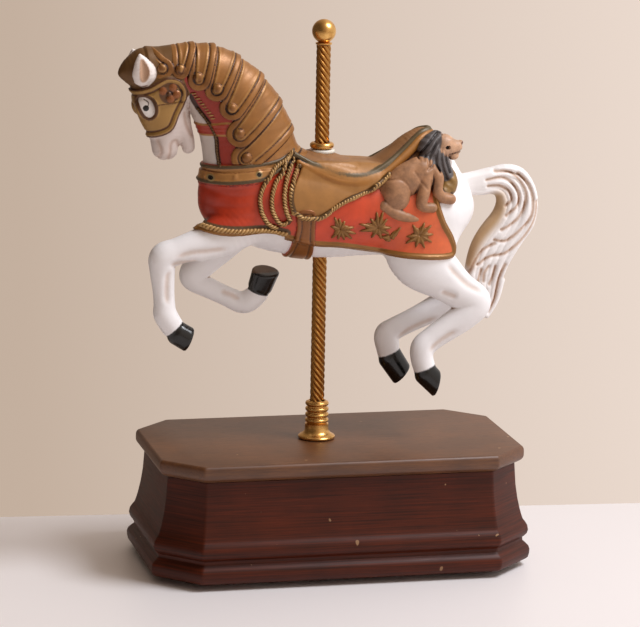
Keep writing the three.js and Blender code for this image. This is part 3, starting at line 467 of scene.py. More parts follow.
def grow(name, tree, points, marks, values):
    # runs the tree on a set of points and keeps the result as a plain mesh
    seed = bpy.data.meshes.new(name + "_points")
    seed.from_pydata([tuple(q) for q in (np.asarray(points) + shift) * mm], [], [])
    for key, vectors in marks.items():
        layer = seed.attributes.new(key, "FLOAT_VECTOR", "POINT")
        layer.data.foreach_set("vector", np.asarray(vectors, np.float32).ravel())
    source = addObject(name + "_seed", seed)
    modifier = source.modifiers.new("grow", "NODES")
    modifier.node_group = tree
    for item in tree.interface.items_tree:
        if item.in_out == "INPUT" and item.name in values:
            modifier[item.identifier] = values[item.name]
    whole = source.evaluated_get(bpy.context.evaluated_depsgraph_get())
    mesh = bpy.data.meshes.new_from_object(whole, depsgraph=bpy.context.evaluated_depsgraph_get())
    source.modifiers.remove(modifier)
    bpy.data.objects.remove(source)
    mesh.name = name
    return addObject(name, mesh)


def plant(tree, given, shape):
    # puts the shape on each given point, makes it solid and gives it its material
    points = addNode(tree, "GeometryNodeMeshToPoints", {"Mesh": given["Geometry"]})
    laid = addNode(tree, "GeometryNodeInstanceOnPoints", {"Points": points, **shape})
    solid = addNode(tree, "GeometryNodeRealizeInstances", {0: laid})
    done = addNode(tree, "GeometryNodeSetMaterial", {"Geometry": solid, "Material": given["Material"]})
    addNode(tree, "NodeGroupOutput", {0: done})
    return tree


def strandTree():
    # plump strands laid along a path, each turned across it
    tree, given = newTree("laid strands", [
        ("Slant", "NodeSocketFloat", 0.6), ("Unevenness", "NodeSocketFloat", 0.12), ("Seed", "NodeSocketInt", 3),
        ("Material", "NodeSocketMaterial", None)])
    bead = addNode(tree, "GeometryNodeMeshUVSphere", {"Segments": 8, "Rings": 6, "Radius": 0.5})
    bead = addNode(tree, "GeometryNodeSetShadeSmooth", {"Geometry": bead})
    facing, along, size = [addNode(tree, "GeometryNodeInputNamedAttribute", {"Name": key}, data_type="FLOAT_VECTOR")
                           for key in ("facing", "along", "size")]
    turn = addNode(tree, "FunctionNodeAxesToRotation", {0: facing, 1: along}, primary_axis="Z", secondary_axis="X")
    lean = addNode(tree, "ShaderNodeCombineXYZ", {"Z": given["Slant"]})
    turn = addNode(tree, "FunctionNodeRotateRotation", {0: turn, 1: lean}, rotation_space="LOCAL")
    low, high = [addNode(tree, "ShaderNodeMath", {0: 1.0, 1: given["Unevenness"]}, operation=kind)
                 for kind in ("SUBTRACT", "ADD")]
    vary = addNode(tree, "FunctionNodeRandomValue", {2: low, 3: high, "Seed": given["Seed"]},
                   data_type="FLOAT", out=1)
    scale = addNode(tree, "ShaderNodeVectorMath", {0: size, "Scale": vary}, operation="SCALE")
    return plant(tree, given, {"Instance": bead, "Rotation": turn, "Scale": scale})


def twistTree():
    # a rod of round strands wound about the pole's axis
    tree, given = newTree("twisted rod", [
        ("Height", "NodeSocketFloat", 0.1), ("Radius", "NodeSocketFloat", 0.003), ("Groove", "NodeSocketFloat", 0.0006),
        ("Strands", "NodeSocketInt", 7), ("Lead", "NodeSocketFloat", 0.02), ("Material", "NodeSocketMaterial", None)])
    top = addNode(tree, "ShaderNodeCombineXYZ", {"Z": given["Height"]})
    start = addNode(tree, "GeometryNodeInputPosition")
    rod = addNode(tree, "GeometryNodeCurvePrimitiveLine", {"End": top})
    rod = addNode(tree, "GeometryNodeResampleCurve", {"Curve": rod, "Count": 420})
    along = addNode(tree, "GeometryNodeSplineParameter", out="Length")
    turns = addNode(tree, "ShaderNodeMath", {0: along, 1: given["Lead"]}, operation="DIVIDE")
    twist = addNode(tree, "ShaderNodeMath", {0: turns, 1: -2 * math.pi}, operation="MULTIPLY")
    rod = addNode(tree, "GeometryNodeSetCurveTilt", {"Curve": rod, "Tilt": twist})
    ring = addNode(tree, "GeometryNodeCurvePrimitiveCircle", {"Resolution": 84, "Radius": 1.0})
    spot = addNode(tree, "ShaderNodeSeparateXYZ", {0: start}, out="all")
    angle = addNode(tree, "ShaderNodeMath", {0: spot[1], 1: spot[0]}, operation="ARCTAN2")
    half = addNode(tree, "ShaderNodeMath", {0: given["Strands"], 1: 0.5}, operation="MULTIPLY")
    wave = addNode(tree, "ShaderNodeMath", {0: angle, 1: half}, operation="MULTIPLY")
    for kind in ("SINE", "ABSOLUTE"):
        wave = addNode(tree, "ShaderNodeMath", {0: wave}, operation=kind)
    dip = addNode(tree, "ShaderNodeMath", {0: 1.0, 1: wave}, operation="SUBTRACT")
    dip = addNode(tree, "ShaderNodeMath", {0: dip, 1: given["Groove"]}, operation="MULTIPLY")
    out = addNode(tree, "ShaderNodeMath", {0: given["Radius"], 1: dip}, operation="SUBTRACT")
    spot = addNode(tree, "ShaderNodeVectorMath", {0: start, "Scale": out}, operation="SCALE")
    ring = addNode(tree, "GeometryNodeSetPosition", {"Geometry": ring, "Position": spot})
    wall = addNode(tree, "GeometryNodeCurveToMesh", {"Curve": rod, "Profile Curve": ring, "Fill Caps": True})
    return plant(tree, given, {"Instance": wall})


# Brass: turned and twisted pieces on the pole's axis.
brass = {"colour": "e2b26a", "dull": "a8712f", "roughness": 0.25, "grainMm": 0.25, "tarnishMm": 3}
twistedRod = {"radius": 3.1, "groove": 0.75, "strands": 7, "lead": 19.5, "colour": "b98748", "roughness": 0.34}
turning = {"sides": 64, "crispAngle": 35, "bore": 3.4}


def startPaint(name):
    # an empty material, its tree and the place on the piece
    material = bpy.data.materials.new(name)
    material.use_nodes = True
    tree = material.node_tree
    tree.nodes.clear()
    return material, tree, addNode(tree, "ShaderNodeTexCoord", out="Object")


def mouldedPaint(name, colour, speckMm, detail, roughness, settings):
    # a plain moulded finish whose gloss varies in fine specks
    material, tree, place = startPaint(name)
    speck = addNode(tree, "ShaderNodeTexNoise", {"Vector": place, "Scale": 1000 / speckMm, "Detail": detail})
    rough = addNode(tree, "ShaderNodeMapRange", {"Value": speck, "To Min": roughness[0], "To Max": roughness[1]})
    shader = addNode(tree, "ShaderNodeBsdfPrincipled", {"Base Color": toLinear(colour), "Roughness": rough, **settings})
    addNode(tree, "ShaderNodeOutputMaterial", {"Surface": shader})
    return material


def brassPaint(name, colour, roughness):
    material, tree, place = startPaint(name)
    cloud = addNode(tree, "ShaderNodeTexNoise", {"Vector": place, "Scale": 1000 / brass["tarnishMm"], "Detail": 4.0})
    grain = addNode(tree, "ShaderNodeTexNoise", {"Vector": place, "Scale": 1000 / brass["grainMm"], "Detail": 2.0})
    mask = addNode(tree, "ShaderNodeMapRange", {"Value": cloud, "From Min": 0.45, "From Max": 0.75, "To Max": 0.5})
    tint = addNode(tree, "ShaderNodeMix", {0: mask, 6: toLinear(colour), 7: toLinear(brass["dull"])},
                   data_type="RGBA", out=2)
    rough = addNode(tree, "ShaderNodeMath", {0: mask, 1: 0.25, 2: roughness}, operation="MULTIPLY_ADD")
    bump = addNode(tree, "ShaderNodeBump", {"Height": grain, "Strength": 0.12, "Distance": 0.05 * mm})
    shader = addNode(tree, "ShaderNodeBsdfPrincipled", {"Base Color": tint, "Metallic": 1.0, "Roughness": rough,
                                                        "Normal": bump})
    addNode(tree, "ShaderNodeOutputMaterial", {"Surface": shader})
    return material


# polished and lacquered brass: warm yellow, soft highlights and faint tarnish clouds
polished = brassPaint("lacquered_brass", brass["colour"], brass["roughness"])
aged = brassPaint("aged_brass", twistedRod["colour"], twistedRod["roughness"])  # the twisted rod is duller


def lathe(name, profile, material, node):
    # turns a closed profile of radius and height about the pole
    profile = np.array(profile, float)
    count, sides = len(profile), turning["sides"]
    angle = np.linspace(0, 2 * math.pi, sides, endpoint=False)
    points = np.concatenate([np.stack([poleX - shift[0] + r * np.cos(angle), r * np.sin(angle), np.full(sides, z)], 1)
                             for r, z in profile])
    here, after = np.arange(count)[:, None] * sides, (np.arange(1, count + 1) % count)[:, None] * sides
    s, t = np.arange(sides), (np.arange(sides) + 1) % sides
    piece = meshFrom(name, points, np.stack([here + s, here + t, after + t, after + s], -1).reshape(-1, 4))
    finishMesh(piece, turning["crispAngle"])
    piece.data.materials.append(material)
    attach(piece, "root")
    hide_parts(node)
    return piece


def finishMesh(piece, smoothTo):
    # merges doubled points, turns the faces outwards and keeps edges sharper than the angle crisp
    work = bmesh.new()
    work.from_mesh(piece.data)
    bmesh.ops.remove_doubles(work, verts=work.verts, dist=1e-7)
    bmesh.ops.dissolve_degenerate(work, dist=1e-7, edges=work.edges)
    bmesh.ops.recalc_face_normals(work, faces=work.faces)
    work.to_mesh(piece.data)
    work.free()
    piece.data.shade_smooth()
    piece.data.set_sharp_from_angle(angle=math.radians(smoothTo))


pole = grow("twisted_pole", twistTree(), [(poleX - shift[0], 0, poleLow[2])], {}, {
    "Height": (poleHigh[2] - poleLow[2]) * mm, "Radius": twistedRod["radius"] * mm, "Groove": twistedRod["groove"] * mm,
    "Strands": twistedRod["strands"], "Lead": twistedRod["lead"] * mm, "Material": aged})
pole.data.shade_smooth()
pole.data.set_sharp_from_angle(angle=math.radians(60))
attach(pole, "root")
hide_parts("pole")


def arc(radius, z, height, bulge, steps):
    # the outside of a rounded ring, from bottom to top
    line = []
    for i in range(steps + 1):
        a = math.pi * i / steps - math.pi / 2
        line.append((radius - bulge + bulge * math.cos(a), z + height / 2 + height / 2 * math.sin(a)))
    return line


bore = turning["bore"]
foot, tip = heightsOf("ferrule")
wall = [(bore, foot), (7.7, foot), (8, foot + 0.3), (8, foot + 0.9), (7.7, foot + 1.25), (6.9, foot + 1.7),
        (6.1, foot + 2.2), (5.5, foot + 2.9), (5.15, foot + 3.7), (5.1, foot + 6.3)]
ribFoot = foot + 6.6
ribPitch = (tip - ribFoot) / 4
for rib in range(4):
    wall += [(4.25, ribFoot + rib * ribPitch)] + arc(5.1, ribFoot + rib * ribPitch + 0.35, ribPitch - 0.7, 0.75, 6)
wall += [(4.1, tip - 0.2), (3.9, tip), (bore, tip)]
lathe("brass_ferrule", wall, polished, "ferrule")
foot, tip = heightsOf("collar")
lathe("brass_collar", [(bore, foot), *arc(5.2, foot, tip - foot, 1.35, 12), (bore, tip)], polished, "collar")
foot, tip = heightsOf("finial")
ballRadius = 5.1
ballZ = tip - ballRadius
dome = [(0.02, foot), (3.3, foot), (3.5, foot + 0.2), (3.5, foot + 0.75)]
dome += [(max(ballRadius * math.cos(a), 0.02), ballZ + ballRadius * math.sin(a))
         for a in np.linspace(math.asin((foot + 1.15 - ballZ) / ballRadius), math.pi / 2, 26)]
lathe("brass_ball", dome, polished, "finial")
foot, tip = heightsOf("washer")
# white moulded nylon, a little waxy
washerPaint = mouldedPaint("moulded_nylon", "e9e0d4", 0.4, 2.0, (0.35, 0.6), {"Subsurface Weight": 0.1})
lathe("nylon_washer", [(bore, foot), *arc(5.5, foot, tip - foot, 0.5, 6), (bore, tip)], washerPaint,
      "washer")
report("brass turned")

# Wooden box: moulded case under a thick top, both with cut corners.
case = {
    "levels": [(2.8, 1.6), (3.2, 2.3), (3.8, 2.85), (5.4, 3.3), (7.4, 3.4), (8.8, 2.9), (9.8, 1.9), (10.4, 1.2),
        (11, 0.5), (11.3, 0.4), (12.4, 0.4), (12.7, 0.5), (13.2, 1.1), (14.4, 2.2), (16, 2.6), (18, 2.2), (19.6, 1.2),
        (20.4, 0.55), (21, 0.2), (23, -0.45), (25, -1), (30, -2.1), (36, -3), (45.5, -3.7)],
    "length": 160, "width": 88.7, "corner": 16, "round": 0.9,
}
slab = {
    "levels": [(45.8, -3.3), (46.2, -2.5), (46.7, -1.6), (47.3, -0.85), (48, -0.3), (48.8, -0.05), (49.6, 0),
        (51.4, -0.05), (52.1, -0.2), (52.7, -0.55), (53.05, -0.95), (53.2, -1.4)],
}


def cutRing(z, out, steps=4):
    hx, hy = case["length"] / 2 + out, case["width"] / 2 + out
    c = case["corner"] + out * (2 - math.sqrt(2))
    corners = np.array([(hx, -hy + c), (hx, hy - c), (hx - c, hy), (-hx + c, hy), (-hx, hy - c), (-hx, -hy + c),
                        (-hx + c, -hy), (hx - c, -hy)])
    ring = []
    for i in range(8):
        before, here, after = corners[i - 1], corners[i], corners[(i + 1) % 8]
        inward, outward = (before - here) / np.linalg.norm(before - here), (after - here) / np.linalg.norm(after - here)
        for s in range(steps + 1):
            t = s / steps
            ring.append(here + case["round"] * ((1 - t) ** 2 * inward + t ** 2 * outward))
    return [(x, y, z) for x, y in ring]


def stack(name, levels, material, node):
    rings = [cutRing(z, out) for z, out in levels]
    count = len(rings[0])
    points = np.array([q for ring in rings for q in ring])
    faces = [(r * count + s, r * count + (s + 1) % count, (r + 1) * count + (s + 1) % count, (r + 1) * count + s)
             for r in range(len(rings) - 1) for s in range(count)]
    mesh = bpy.data.meshes.new(name)
    caps = [tuple(range(count))[::-1], tuple(range((len(rings) - 1) * count, len(rings) * count))]
    mesh.from_pydata([tuple(q) for q in points * mm], [], faces + caps)
    piece = addObject(name, mesh)
    finishMesh(piece, 40)
    mesh.materials.append(material)
    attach(piece, "root")
    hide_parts(node)
    return piece


wood = {
    # light and shade are the top's grain colours, lifted above the case's as a painted reflection
    "stain": "5a2009", "dark": "2a0f05", "light": "704520", "shade": "4e2a14", "chip": "a88360", "roughness": 0.42,
    "caseGrainMm": (40, 40, 0.7), "topGrainMm": (16.67, 0.7, 0.7), "chipMm": 4.0, "cloudMm": 22.22,
    "caseGloss": 0.26, "topGloss": 0.7,
}


def woodPaint(name, grainMm, dark, lift, gloss):
    # grainMm is the size of the figure along x, y and z
    material, tree, place = startPaint(name)
    run = addNode(tree, "ShaderNodeMapping", {"Vector": place, "Scale": [1000 / size for size in grainMm]})
    figure = addNode(tree, "ShaderNodeTexNoise", {"Vector": run, "Scale": 1.0, "Detail": 6.0, "Roughness": 0.65,
                                                  "Distortion": 0.3})
    fine = addNode(tree, "ShaderNodeMapping", {"Vector": run, "Scale": (4.0, 4.0, 4.0)})
    fine = addNode(tree, "ShaderNodeTexNoise", {"Vector": fine, "Scale": 1.0, "Detail": 3.0})
    cloud = addNode(tree, "ShaderNodeTexNoise", {"Vector": place, "Scale": 1000 / wood["cloudMm"], "Detail": 3.0})
    mix = addNode(tree, "ShaderNodeMapRange", {"Value": figure, "From Min": 0.3, "From Max": 0.7})
    colour = addNode(tree, "ShaderNodeMix", {0: mix, 6: toLinear(dark), 7: toLinear(lift)}, data_type="RGBA", out=2)
    pore = addNode(tree, "ShaderNodeMapRange", {"Value": fine, "From Min": 0.56, "From Max": 0.7, "To Max": 0.55})
    colour = addNode(tree, "ShaderNodeMix", {0: pore, 6: colour, 7: toLinear(wood["dark"])}, data_type="RGBA", out=2)
    chip = addNode(tree, "ShaderNodeTexNoise", {"Vector": place, "Scale": 1000 / wood["chipMm"], "Detail": 1.0})
    chip = addNode(tree, "ShaderNodeMapRange", {"Value": chip, "From Min": 0.785, "From Max": 0.8, "To Max": 0.7})
    colour = addNode(tree, "ShaderNodeMix", {0: chip, 6: colour, 7: toLinear(wood["chip"])}, data_type="RGBA", out=2)
    blotch = addNode(tree, "ShaderNodeMapRange", {"Value": cloud, "From Min": 0.35, "From Max": 0.7, "To Min": 0.85,
                                                  "To Max": 1.2})
    colour = addNode(tree, "ShaderNodeVectorMath", {0: colour, "Scale": blotch}, operation="SCALE")
    rough = addNode(tree, "ShaderNodeMapRange", {"Value": fine, "To Min": wood["roughness"] - 0.08,
                                                 "To Max": wood["roughness"] + 0.14})
    bump = addNode(tree, "ShaderNodeBump", {"Height": fine, "Strength": 0.2, "Distance": 0.1 * mm})
    shader = addNode(tree, "ShaderNodeBsdfPrincipled", {
        "Base Color": colour, "Roughness": rough, "Normal": bump, "IOR": 1.5, "Specular IOR Level": gloss})
    addNode(tree, "ShaderNodeOutputMaterial", {"Surface": shader})
    return material


# mahogany-stained hardwood under satin varnish: dark red-brown with fine level grain
casePaint = woodPaint("stained_case", wood["caseGrainMm"], wood["dark"], wood["stain"], wood["caseGloss"])
# the same stain on the top, glossier, and painted lighter as a painted reflection of the bright room
topPaint = woodPaint("stained_top_painted_reflection", wood["topGrainMm"], wood["shade"], wood["light"], wood["topGloss"])
stack("wooden_case", case["levels"], casePaint, "base_case")
stack("wooden_top", slab["levels"], topPaint, "base_top")

# black rubber feet: dull, with a fine moulded texture
rubber = mouldedPaint("moulded_rubber", "15120f", 0.5556, 3.0, (0.65, 0.9), {})
for node in ("foot_front_left", "foot_front_right", "foot_back_left", "foot_back_right"):
    for footSlot in bpy.data.objects[node].material_slots:
        footSlot.material = rubber
report("base and feet finished")


# Painted porcelain: colours laid over a bisque body, with a brown wash left in the grooves and painted shade in the
# wider hollows.
glaze = {"metallic": 0.0, "mottleMm": 6, "brushMm": 0.8, "mottle": 0.12, "bump": 0.15, "bumpMm": 0.12, "coat": 0.06,
         "layers": [], "washes": []}


def porcelainPaint(name, look):
    # each layer: attribute in mm inside its edge, colour, roughness, metallic, softness of the edge
    material, tree, place = startPaint(name)
    mottle = addNode(tree, "ShaderNodeTexNoise", {"Vector": place, "Scale": 1000 / look["mottleMm"], "Detail": 4.0,
                                                  "Roughness": 0.6})
    brush = addNode(tree, "ShaderNodeTexNoise", {"Vector": place, "Scale": 1000 / look["brushMm"], "Detail": 3.0,
                                                 "Roughness": 0.65})
    jitter = addNode(tree, "ShaderNodeMath", {0: brush, 1: 0.5}, operation="SUBTRACT")
    colour, rough, metal = toLinear(look["base"]), look["roughness"], look["metallic"]
    for mark, tint, layerRough, layerMetal, soft in look["layers"]:
        edge = addNode(tree, "ShaderNodeAttribute", attribute_name=mark, out="Fac")
        edge = addNode(tree, "ShaderNodeMath", {0: jitter, 1: look["unevenMm"], 2: edge}, operation="MULTIPLY_ADD")
        mask = addNode(tree, "ShaderNodeMapRange", {"Value": edge, "From Min": -soft, "From Max": soft},
                       interpolation_type="SMOOTHSTEP")
        colour = addNode(tree, "ShaderNodeMix", {0: mask, 6: colour, 7: toLinear(tint)}, data_type="RGBA", out=2)
        if layerRough != rough:
            rough = addNode(tree, "ShaderNodeMix", {0: mask, 2: rough, 3: layerRough}, data_type="FLOAT")
        if layerMetal != metal:
            metal = addNode(tree, "ShaderNodeMix", {0: mask, 2: metal, 3: layerMetal}, data_type="FLOAT")
    for mark, low, high, tint, amount in look["washes"]:
        depth = addNode(tree, "ShaderNodeAttribute", attribute_name=mark, out="Fac")
        depth = addNode(tree, "ShaderNodeMath", {0: jitter, 1: 0.5, 2: depth}, operation="MULTIPLY_ADD")
        mask = addNode(tree, "ShaderNodeMapRange", {"Value": depth, "From Min": low, "From Max": high,
                                                    "To Max": amount}, interpolation_type="SMOOTHSTEP")
        colour = addNode(tree, "ShaderNodeMix", {0: mask, 6: colour, 7: toLinear(tint)}, data_type="RGBA",
                         blend_type="MULTIPLY", out=2)
    bright = addNode(tree, "ShaderNodeMapRange", {"Value": mottle, "From Min": 0.3, "From Max": 0.7,
                                                  "To Min": 1 - look["mottle"], "To Max": 1 + look["mottle"]})
    colour = colour[:3] if isinstance(colour, tuple) else colour
    shade = addNode(tree, "ShaderNodeVectorMath", {0: colour, "Scale": bright}, operation="SCALE")
    rough = addNode(tree, "ShaderNodeMath", {0: jitter, 1: 0.35, 2: rough}, operation="MULTIPLY_ADD", use_clamp=True)
    bump = addNode(tree, "ShaderNodeBump", {"Height": brush, "Strength": look["bump"],
                                            "Distance": look["bumpMm"] * mm})
    shader = addNode(tree, "ShaderNodeBsdfPrincipled", {
        "Base Color": shade, "Roughness": rough, "Metallic": metal, "Normal": bump, "IOR": 1.5,
        "Coat Weight": look["coat"], "Coat Roughness": 0.25})
    addNode(tree, "ShaderNodeOutputMaterial", {"Surface": shader})
    return material


# The horse's own form. Stations run x, z, y, half depth, half width.
horse = {
    "rump": [(35, 172, 0, 9, 9.5), (42, 174, 0, 9, 8.5), (47, 169, 0, 7.5, 9), (53, 162, 0, 6, 9)],
    "nearFolds": [[(-72.1, 137.2), (-65.4, 139.2), (-57.5, 139.9), (-48.9, 140.6)],
        [(-73.8, 134), (-69.5, 134.8), (-60.9, 134.8)], [(-73.8, 132), (-74.7, 129.6), (-75, 123.4), (-74.6, 116.7)],
        [(-59.2, 130.5), (-56.8, 133.2)], [(44.5, 119.4), (47.8, 118.2), (52, 116.6)],
        [(46.6, 131.5), (51.6, 126.3), (56.9, 121.7), (63.8, 117.9)],
        [(40.1, 92.7), (43.8, 96.3), (48.1, 99.4), (52.6, 101.9)], [(51, 134.3), (53.9, 138.6), (57.5, 142.8)]],
    "farFolds": [[(-47.9, 118.2), (-42.8, 116.2), (-39, 114.2)],
        [(31, 94.8), (36.1, 98.4), (42.1, 101.1), (48.8, 103.5)]],
    "throatShade": [(-66, 205), (-62, 196), (-58, 186), (-58, 178)],
    "trunk": [(-47, 159, 0, 12.3, 11.3), (-38, 159.5, 0, 18.3, 14), (-24, 157.3, 0, 21.3, 15.3),
        (-5, 154.6, 0, 21.6, 16), (12, 153, 0, 19.5, 16), (28, 152.8, 0, 18.8, 16), (41, 153, 0, 17, 15.3),
        (49.5, 154, 0, 12.6, 12.5)],
    "neck": [(-36.3, 170, 0, 20.2, 13), (-38.4, 183.6, 0, 19.5, 12), (-42.3, 194.5, 0, 18.2, 11),
        (-48.2, 203.4, 0, 16.6, 10.3), (-55.9, 210.7, 0, 14, 9.4), (-65.2, 213.6, 0, 11.6, 8.6),
        (-76, 213.3, 0, 10.8, 7.8)],
    "nearFore": [(-38, 153, -7, 11, 8), (-48, 146, -9.5, 8.8, 6.5), (-60, 141.8, -10.5, 7.2, 5.6),
        (-70, 139, -10.8, 6, 5), (-76, 136.8, -10.8, 6, 5), (-76.3, 131, -10.5, 5.4, 4.4),
        (-75.6, 122, -10, 4.6, 3.9), (-75.2, 116, -10, 4.6, 4), (-74.8, 112, -10, 5, 4.4),
        (-71.6, 106.5, -10, 4.8, 4.1)],
    "farFore": [(-38, 150, 7, 11, 8), (-46, 139, 9, 8, 6), (-53, 132, 9.5, 6.8, 5.3), (-58.8, 126, 9.5, 6, 5),
        (-58.6, 122.6, 9.5, 5, 4.6), (-52, 118.9, 9.5, 4.4, 3.9), (-44, 115, 9.5, 4.3, 3.8),
        (-38, 112.3, 9.5, 4.7, 4.2), (-34.5, 113, 9, 4.9, 4.3), (-30.5, 116.3, 8.5, 4.5, 4.1)],
    "nearHind": [(42, 152, -6, 15, 9), (36.8, 140, -8.5, 16.3, 8), (38, 132.3, -9.5, 13.8, 7.2),
        (46.5, 124.7, -10, 10, 6), (54, 118.7, -10, 8, 5.2), (61.2, 113.4, -10, 7.1, 5), (57, 107.8, -10, 6.4, 4.8),
        (50, 102.8, -9.8, 5.8, 4.3), (43, 98, -9.6, 5.3, 4), (38.8, 94.2, -9.5, 5.4, 4.4), (38.2, 90, -9.5, 5, 4.3),
        (39.6, 84.5, -9.5, 4.8, 4.2)],
    "farHind": [(42, 150, 6, 14, 9), (40, 136, 8.5, 12.5, 7.5), (46, 124, 9.5, 9, 6), (54, 117, 9.5, 7, 5),
        (55, 111, 9.5, 6.5, 4.8), (48, 106.5, 9.5, 5.7, 4.3), (38, 101.8, 9.5, 5, 3.9), (30.5, 98.2, 9.5, 5.1, 4),
        (27.4, 95.5, 9.5, 5.6, 4.4), (28, 90, 9.5, 5.1, 4.3), (28.8, 87, 9.5, 5, 4.2)],
    "hooves": [((-69.2, 103.6, -10, 5.2, 4.6), (-64.3, 100.6, -10, 5.3, 4.9), 8),
        ((-29.6, 119.8, 8, 5.4, 4.8), (-28, 126.6, 5.4, 6.2, 5.4), 8),
        ((40.2, 82.4, -9.5, 5.2, 4.5), (45.2, 77.4, -9.5, 4.9, 4.8), 30),
        ((29.3, 85.6, 9.5, 5.5, 4.5), (34.6, 77.8, 9.5, 5, 4.8), 15)],
    "throatLines": [[(-64, 189.3), (-60, 188.3), (-55.4, 188.3), (-50.4, 188.7)],
        [(-64, 191), (-60, 190), (-55.4, 190), (-50.4, 190.4)],
        [(-64, 192.7), (-60, 191.7), (-55.4, 191.7), (-50.4, 192.1)]],
    "foldDip": (1.9, -0.75), "throatBead": (0.75, 0.45),
}


def hoofBlock(coronet, sole, turn):
    # a short tapered block that runs a little past the sole, so that the cut sole is full
    out = np.array([sole[0] - coronet[0], sole[2] - coronet[2], sole[1] - coronet[1]])
    out /= np.linalg.norm(out)
    end = sole[0] + 4 * out[0], sole[1] + 4 * out[2], sole[2] + 4 * out[1], sole[3], sole[4]
    return [coronet, end], out, sole, turn


hoofBlocks = [hoofBlock(*spec) for spec in horse["hooves"]]


def hoofAt(p, block, out, sole, turn):
    body = limbAt(p, block, 1, 20)
    a = math.radians(turn)  # the sole is turned about the -Y axis
    cut = np.array([out[0] * math.cos(a) - out[2] * math.sin(a), out[1], out[0] * math.sin(a) + out[2] * math.cos(a)])
    return softMax(body, (p - [sole[0], sole[2], sole[1]]) @ cut, 0.8)


def hoovesAt(p):
    best = np.full(len(p), far)
    for block, out, sole, turn in hoofBlocks:
        near = np.nonzero((np.abs(p - [sole[0], sole[2], sole[1]]) < 22).all(1))[0]
        if len(near):
            best[near] = np.minimum(best[near], hoofAt(p[near], block, out, sole, turn))
    return best


def bodyForm(p):
    clay = Clay(p)
    clay.join([horse["trunk"]], 1)
    clay.join([horse["neck"]], 6)
    clay.join([horse["nearFore"], horse["farFore"]], 4, 6)
    clay.join([horse["nearHind"], horse["farHind"]], 4, 9)
    clay.join([horse["rump"]], 3)
    clay.d = softMin(clay.d, hoovesAt(p), 0.6)
    return clay.d


def nakedForm(p):
    clay = Clay(p)
    clay.d = softMax(bodyForm(p), p[:, 2] - 211 - (p[:, 0] + 60) * 0.2, 1)  # the upper neck is under the plates
    for sign, lines in ((1, horse["nearFolds"]), (-1, horse["farFolds"])):
        for line in lines:
            clay.ridge(line, *horse["foldDip"], lambda q: q[:, 1] * sign < -4, True)
    for line in horse["throatLines"]:
        clay.ridge(line, *horse["throatBead"])
    return clay.d


def foldMark(lines, sign):
    return lambda p: np.where(p[:, 1] * sign < -3, np.maximum.reduce(
        [beadAt(strokeAt(p, line), (0, 1.25, 1)) * fadeAt(p, line) for line in lines]), 0)


bisque = dict(glaze, base="f5f3f4", roughness=0.5, mottleMm=9, brushMm=0.9, unevenMm=0.35,
    layers=[("shade", "cfc4bc", 0.5, 0, 3.5), ("hoof", "0c0b09", 0.2, 0, 0.2), ("sole", "5b4026", 0.5, 0, 0.4),
            ("strap", "9c2c18", 0.42, 0, 0.2), ("strapEdge", "3b1c10", 0.5, 0, 0.25),
            ("collar", "a5351f", 0.42, 0, 0.2), ("collarEdge", "a8763c", 0.4, 0.3, 0.2)],
    washes=[("nearFold", 0.0, 1.2, "cdaa8a", 0.5), ("farFold", 0.0, 1.2, "cdaa8a", 0.5),
            ("groove", 0.2, 0.8, "b08d72", 0.75), ("hollowShade", 0.5, 1.2, "ddccbf", 0.4)],
    mottle=0.03, bump=0.12, coat=0.1)
# bisque porcelain: matt white, faintly warm, with a thin brown wash in the folds, painted shade down the throat and in
# the wider hollows
bisquePaint = porcelainPaint("bisque_porcelain", bisque)
strap = [(-66.6, 209.5), (-64.6, 205.8), (-60.7, 199.5), (-56.9, 193.2), (-53.7, 185.7), (-53, 179.4), (-51.6, 174),
         (-43, 174), (-43.4, 179.9), (-44.6, 185.6), (-46, 192.5), (-49, 198.5), (-54, 205), (-60, 213), (-67, 213)]
strapLeft = [(-64.8, 205.6), (-61.2, 199.6), (-56.4, 193.1), (-53.4, 187), (-52.8, 181.1), (-51.8, 174.4)]
collar = [(-66, 194), (-60.4, 192.2), (-55.4, 192.4), (-47.4, 193), (-47.2, 188.4), (-55.4, 187.8), (-60.4, 187.6),
          (-66, 188.6)]


def soleAt(p):
    # the open underside of the lifted far fore hoof
    return np.where((p[:, 2] > 125.4) & (hoovesAt(p) < 0.6), p[:, 2] - 126, -3)


sculpt("horse_body", nakedForm, (-88, -21, 70), (70, 21, 214), 0.65, {
    "hoof": lambda p: 0.5 - hoovesAt(p),
    "sole": soleAt,
    "strap": insideOf(strap, -3, 3),
    "strapEdge": lambda p: 0.85 - strokeAt(p, strapLeft),
    "collar": insideOf(collar, -3, 3),
    "collarEdge": lambda p: 0.45 - np.abs(regionAt(p, collar)),
    "shade": lambda p: 5.4 - strokeAt(p, horse["throatShade"]),
    "nearFold": foldMark(horse["nearFolds"], 1),
    "farFold": foldMark(horse["farFolds"], -1),
}, bisquePaint)


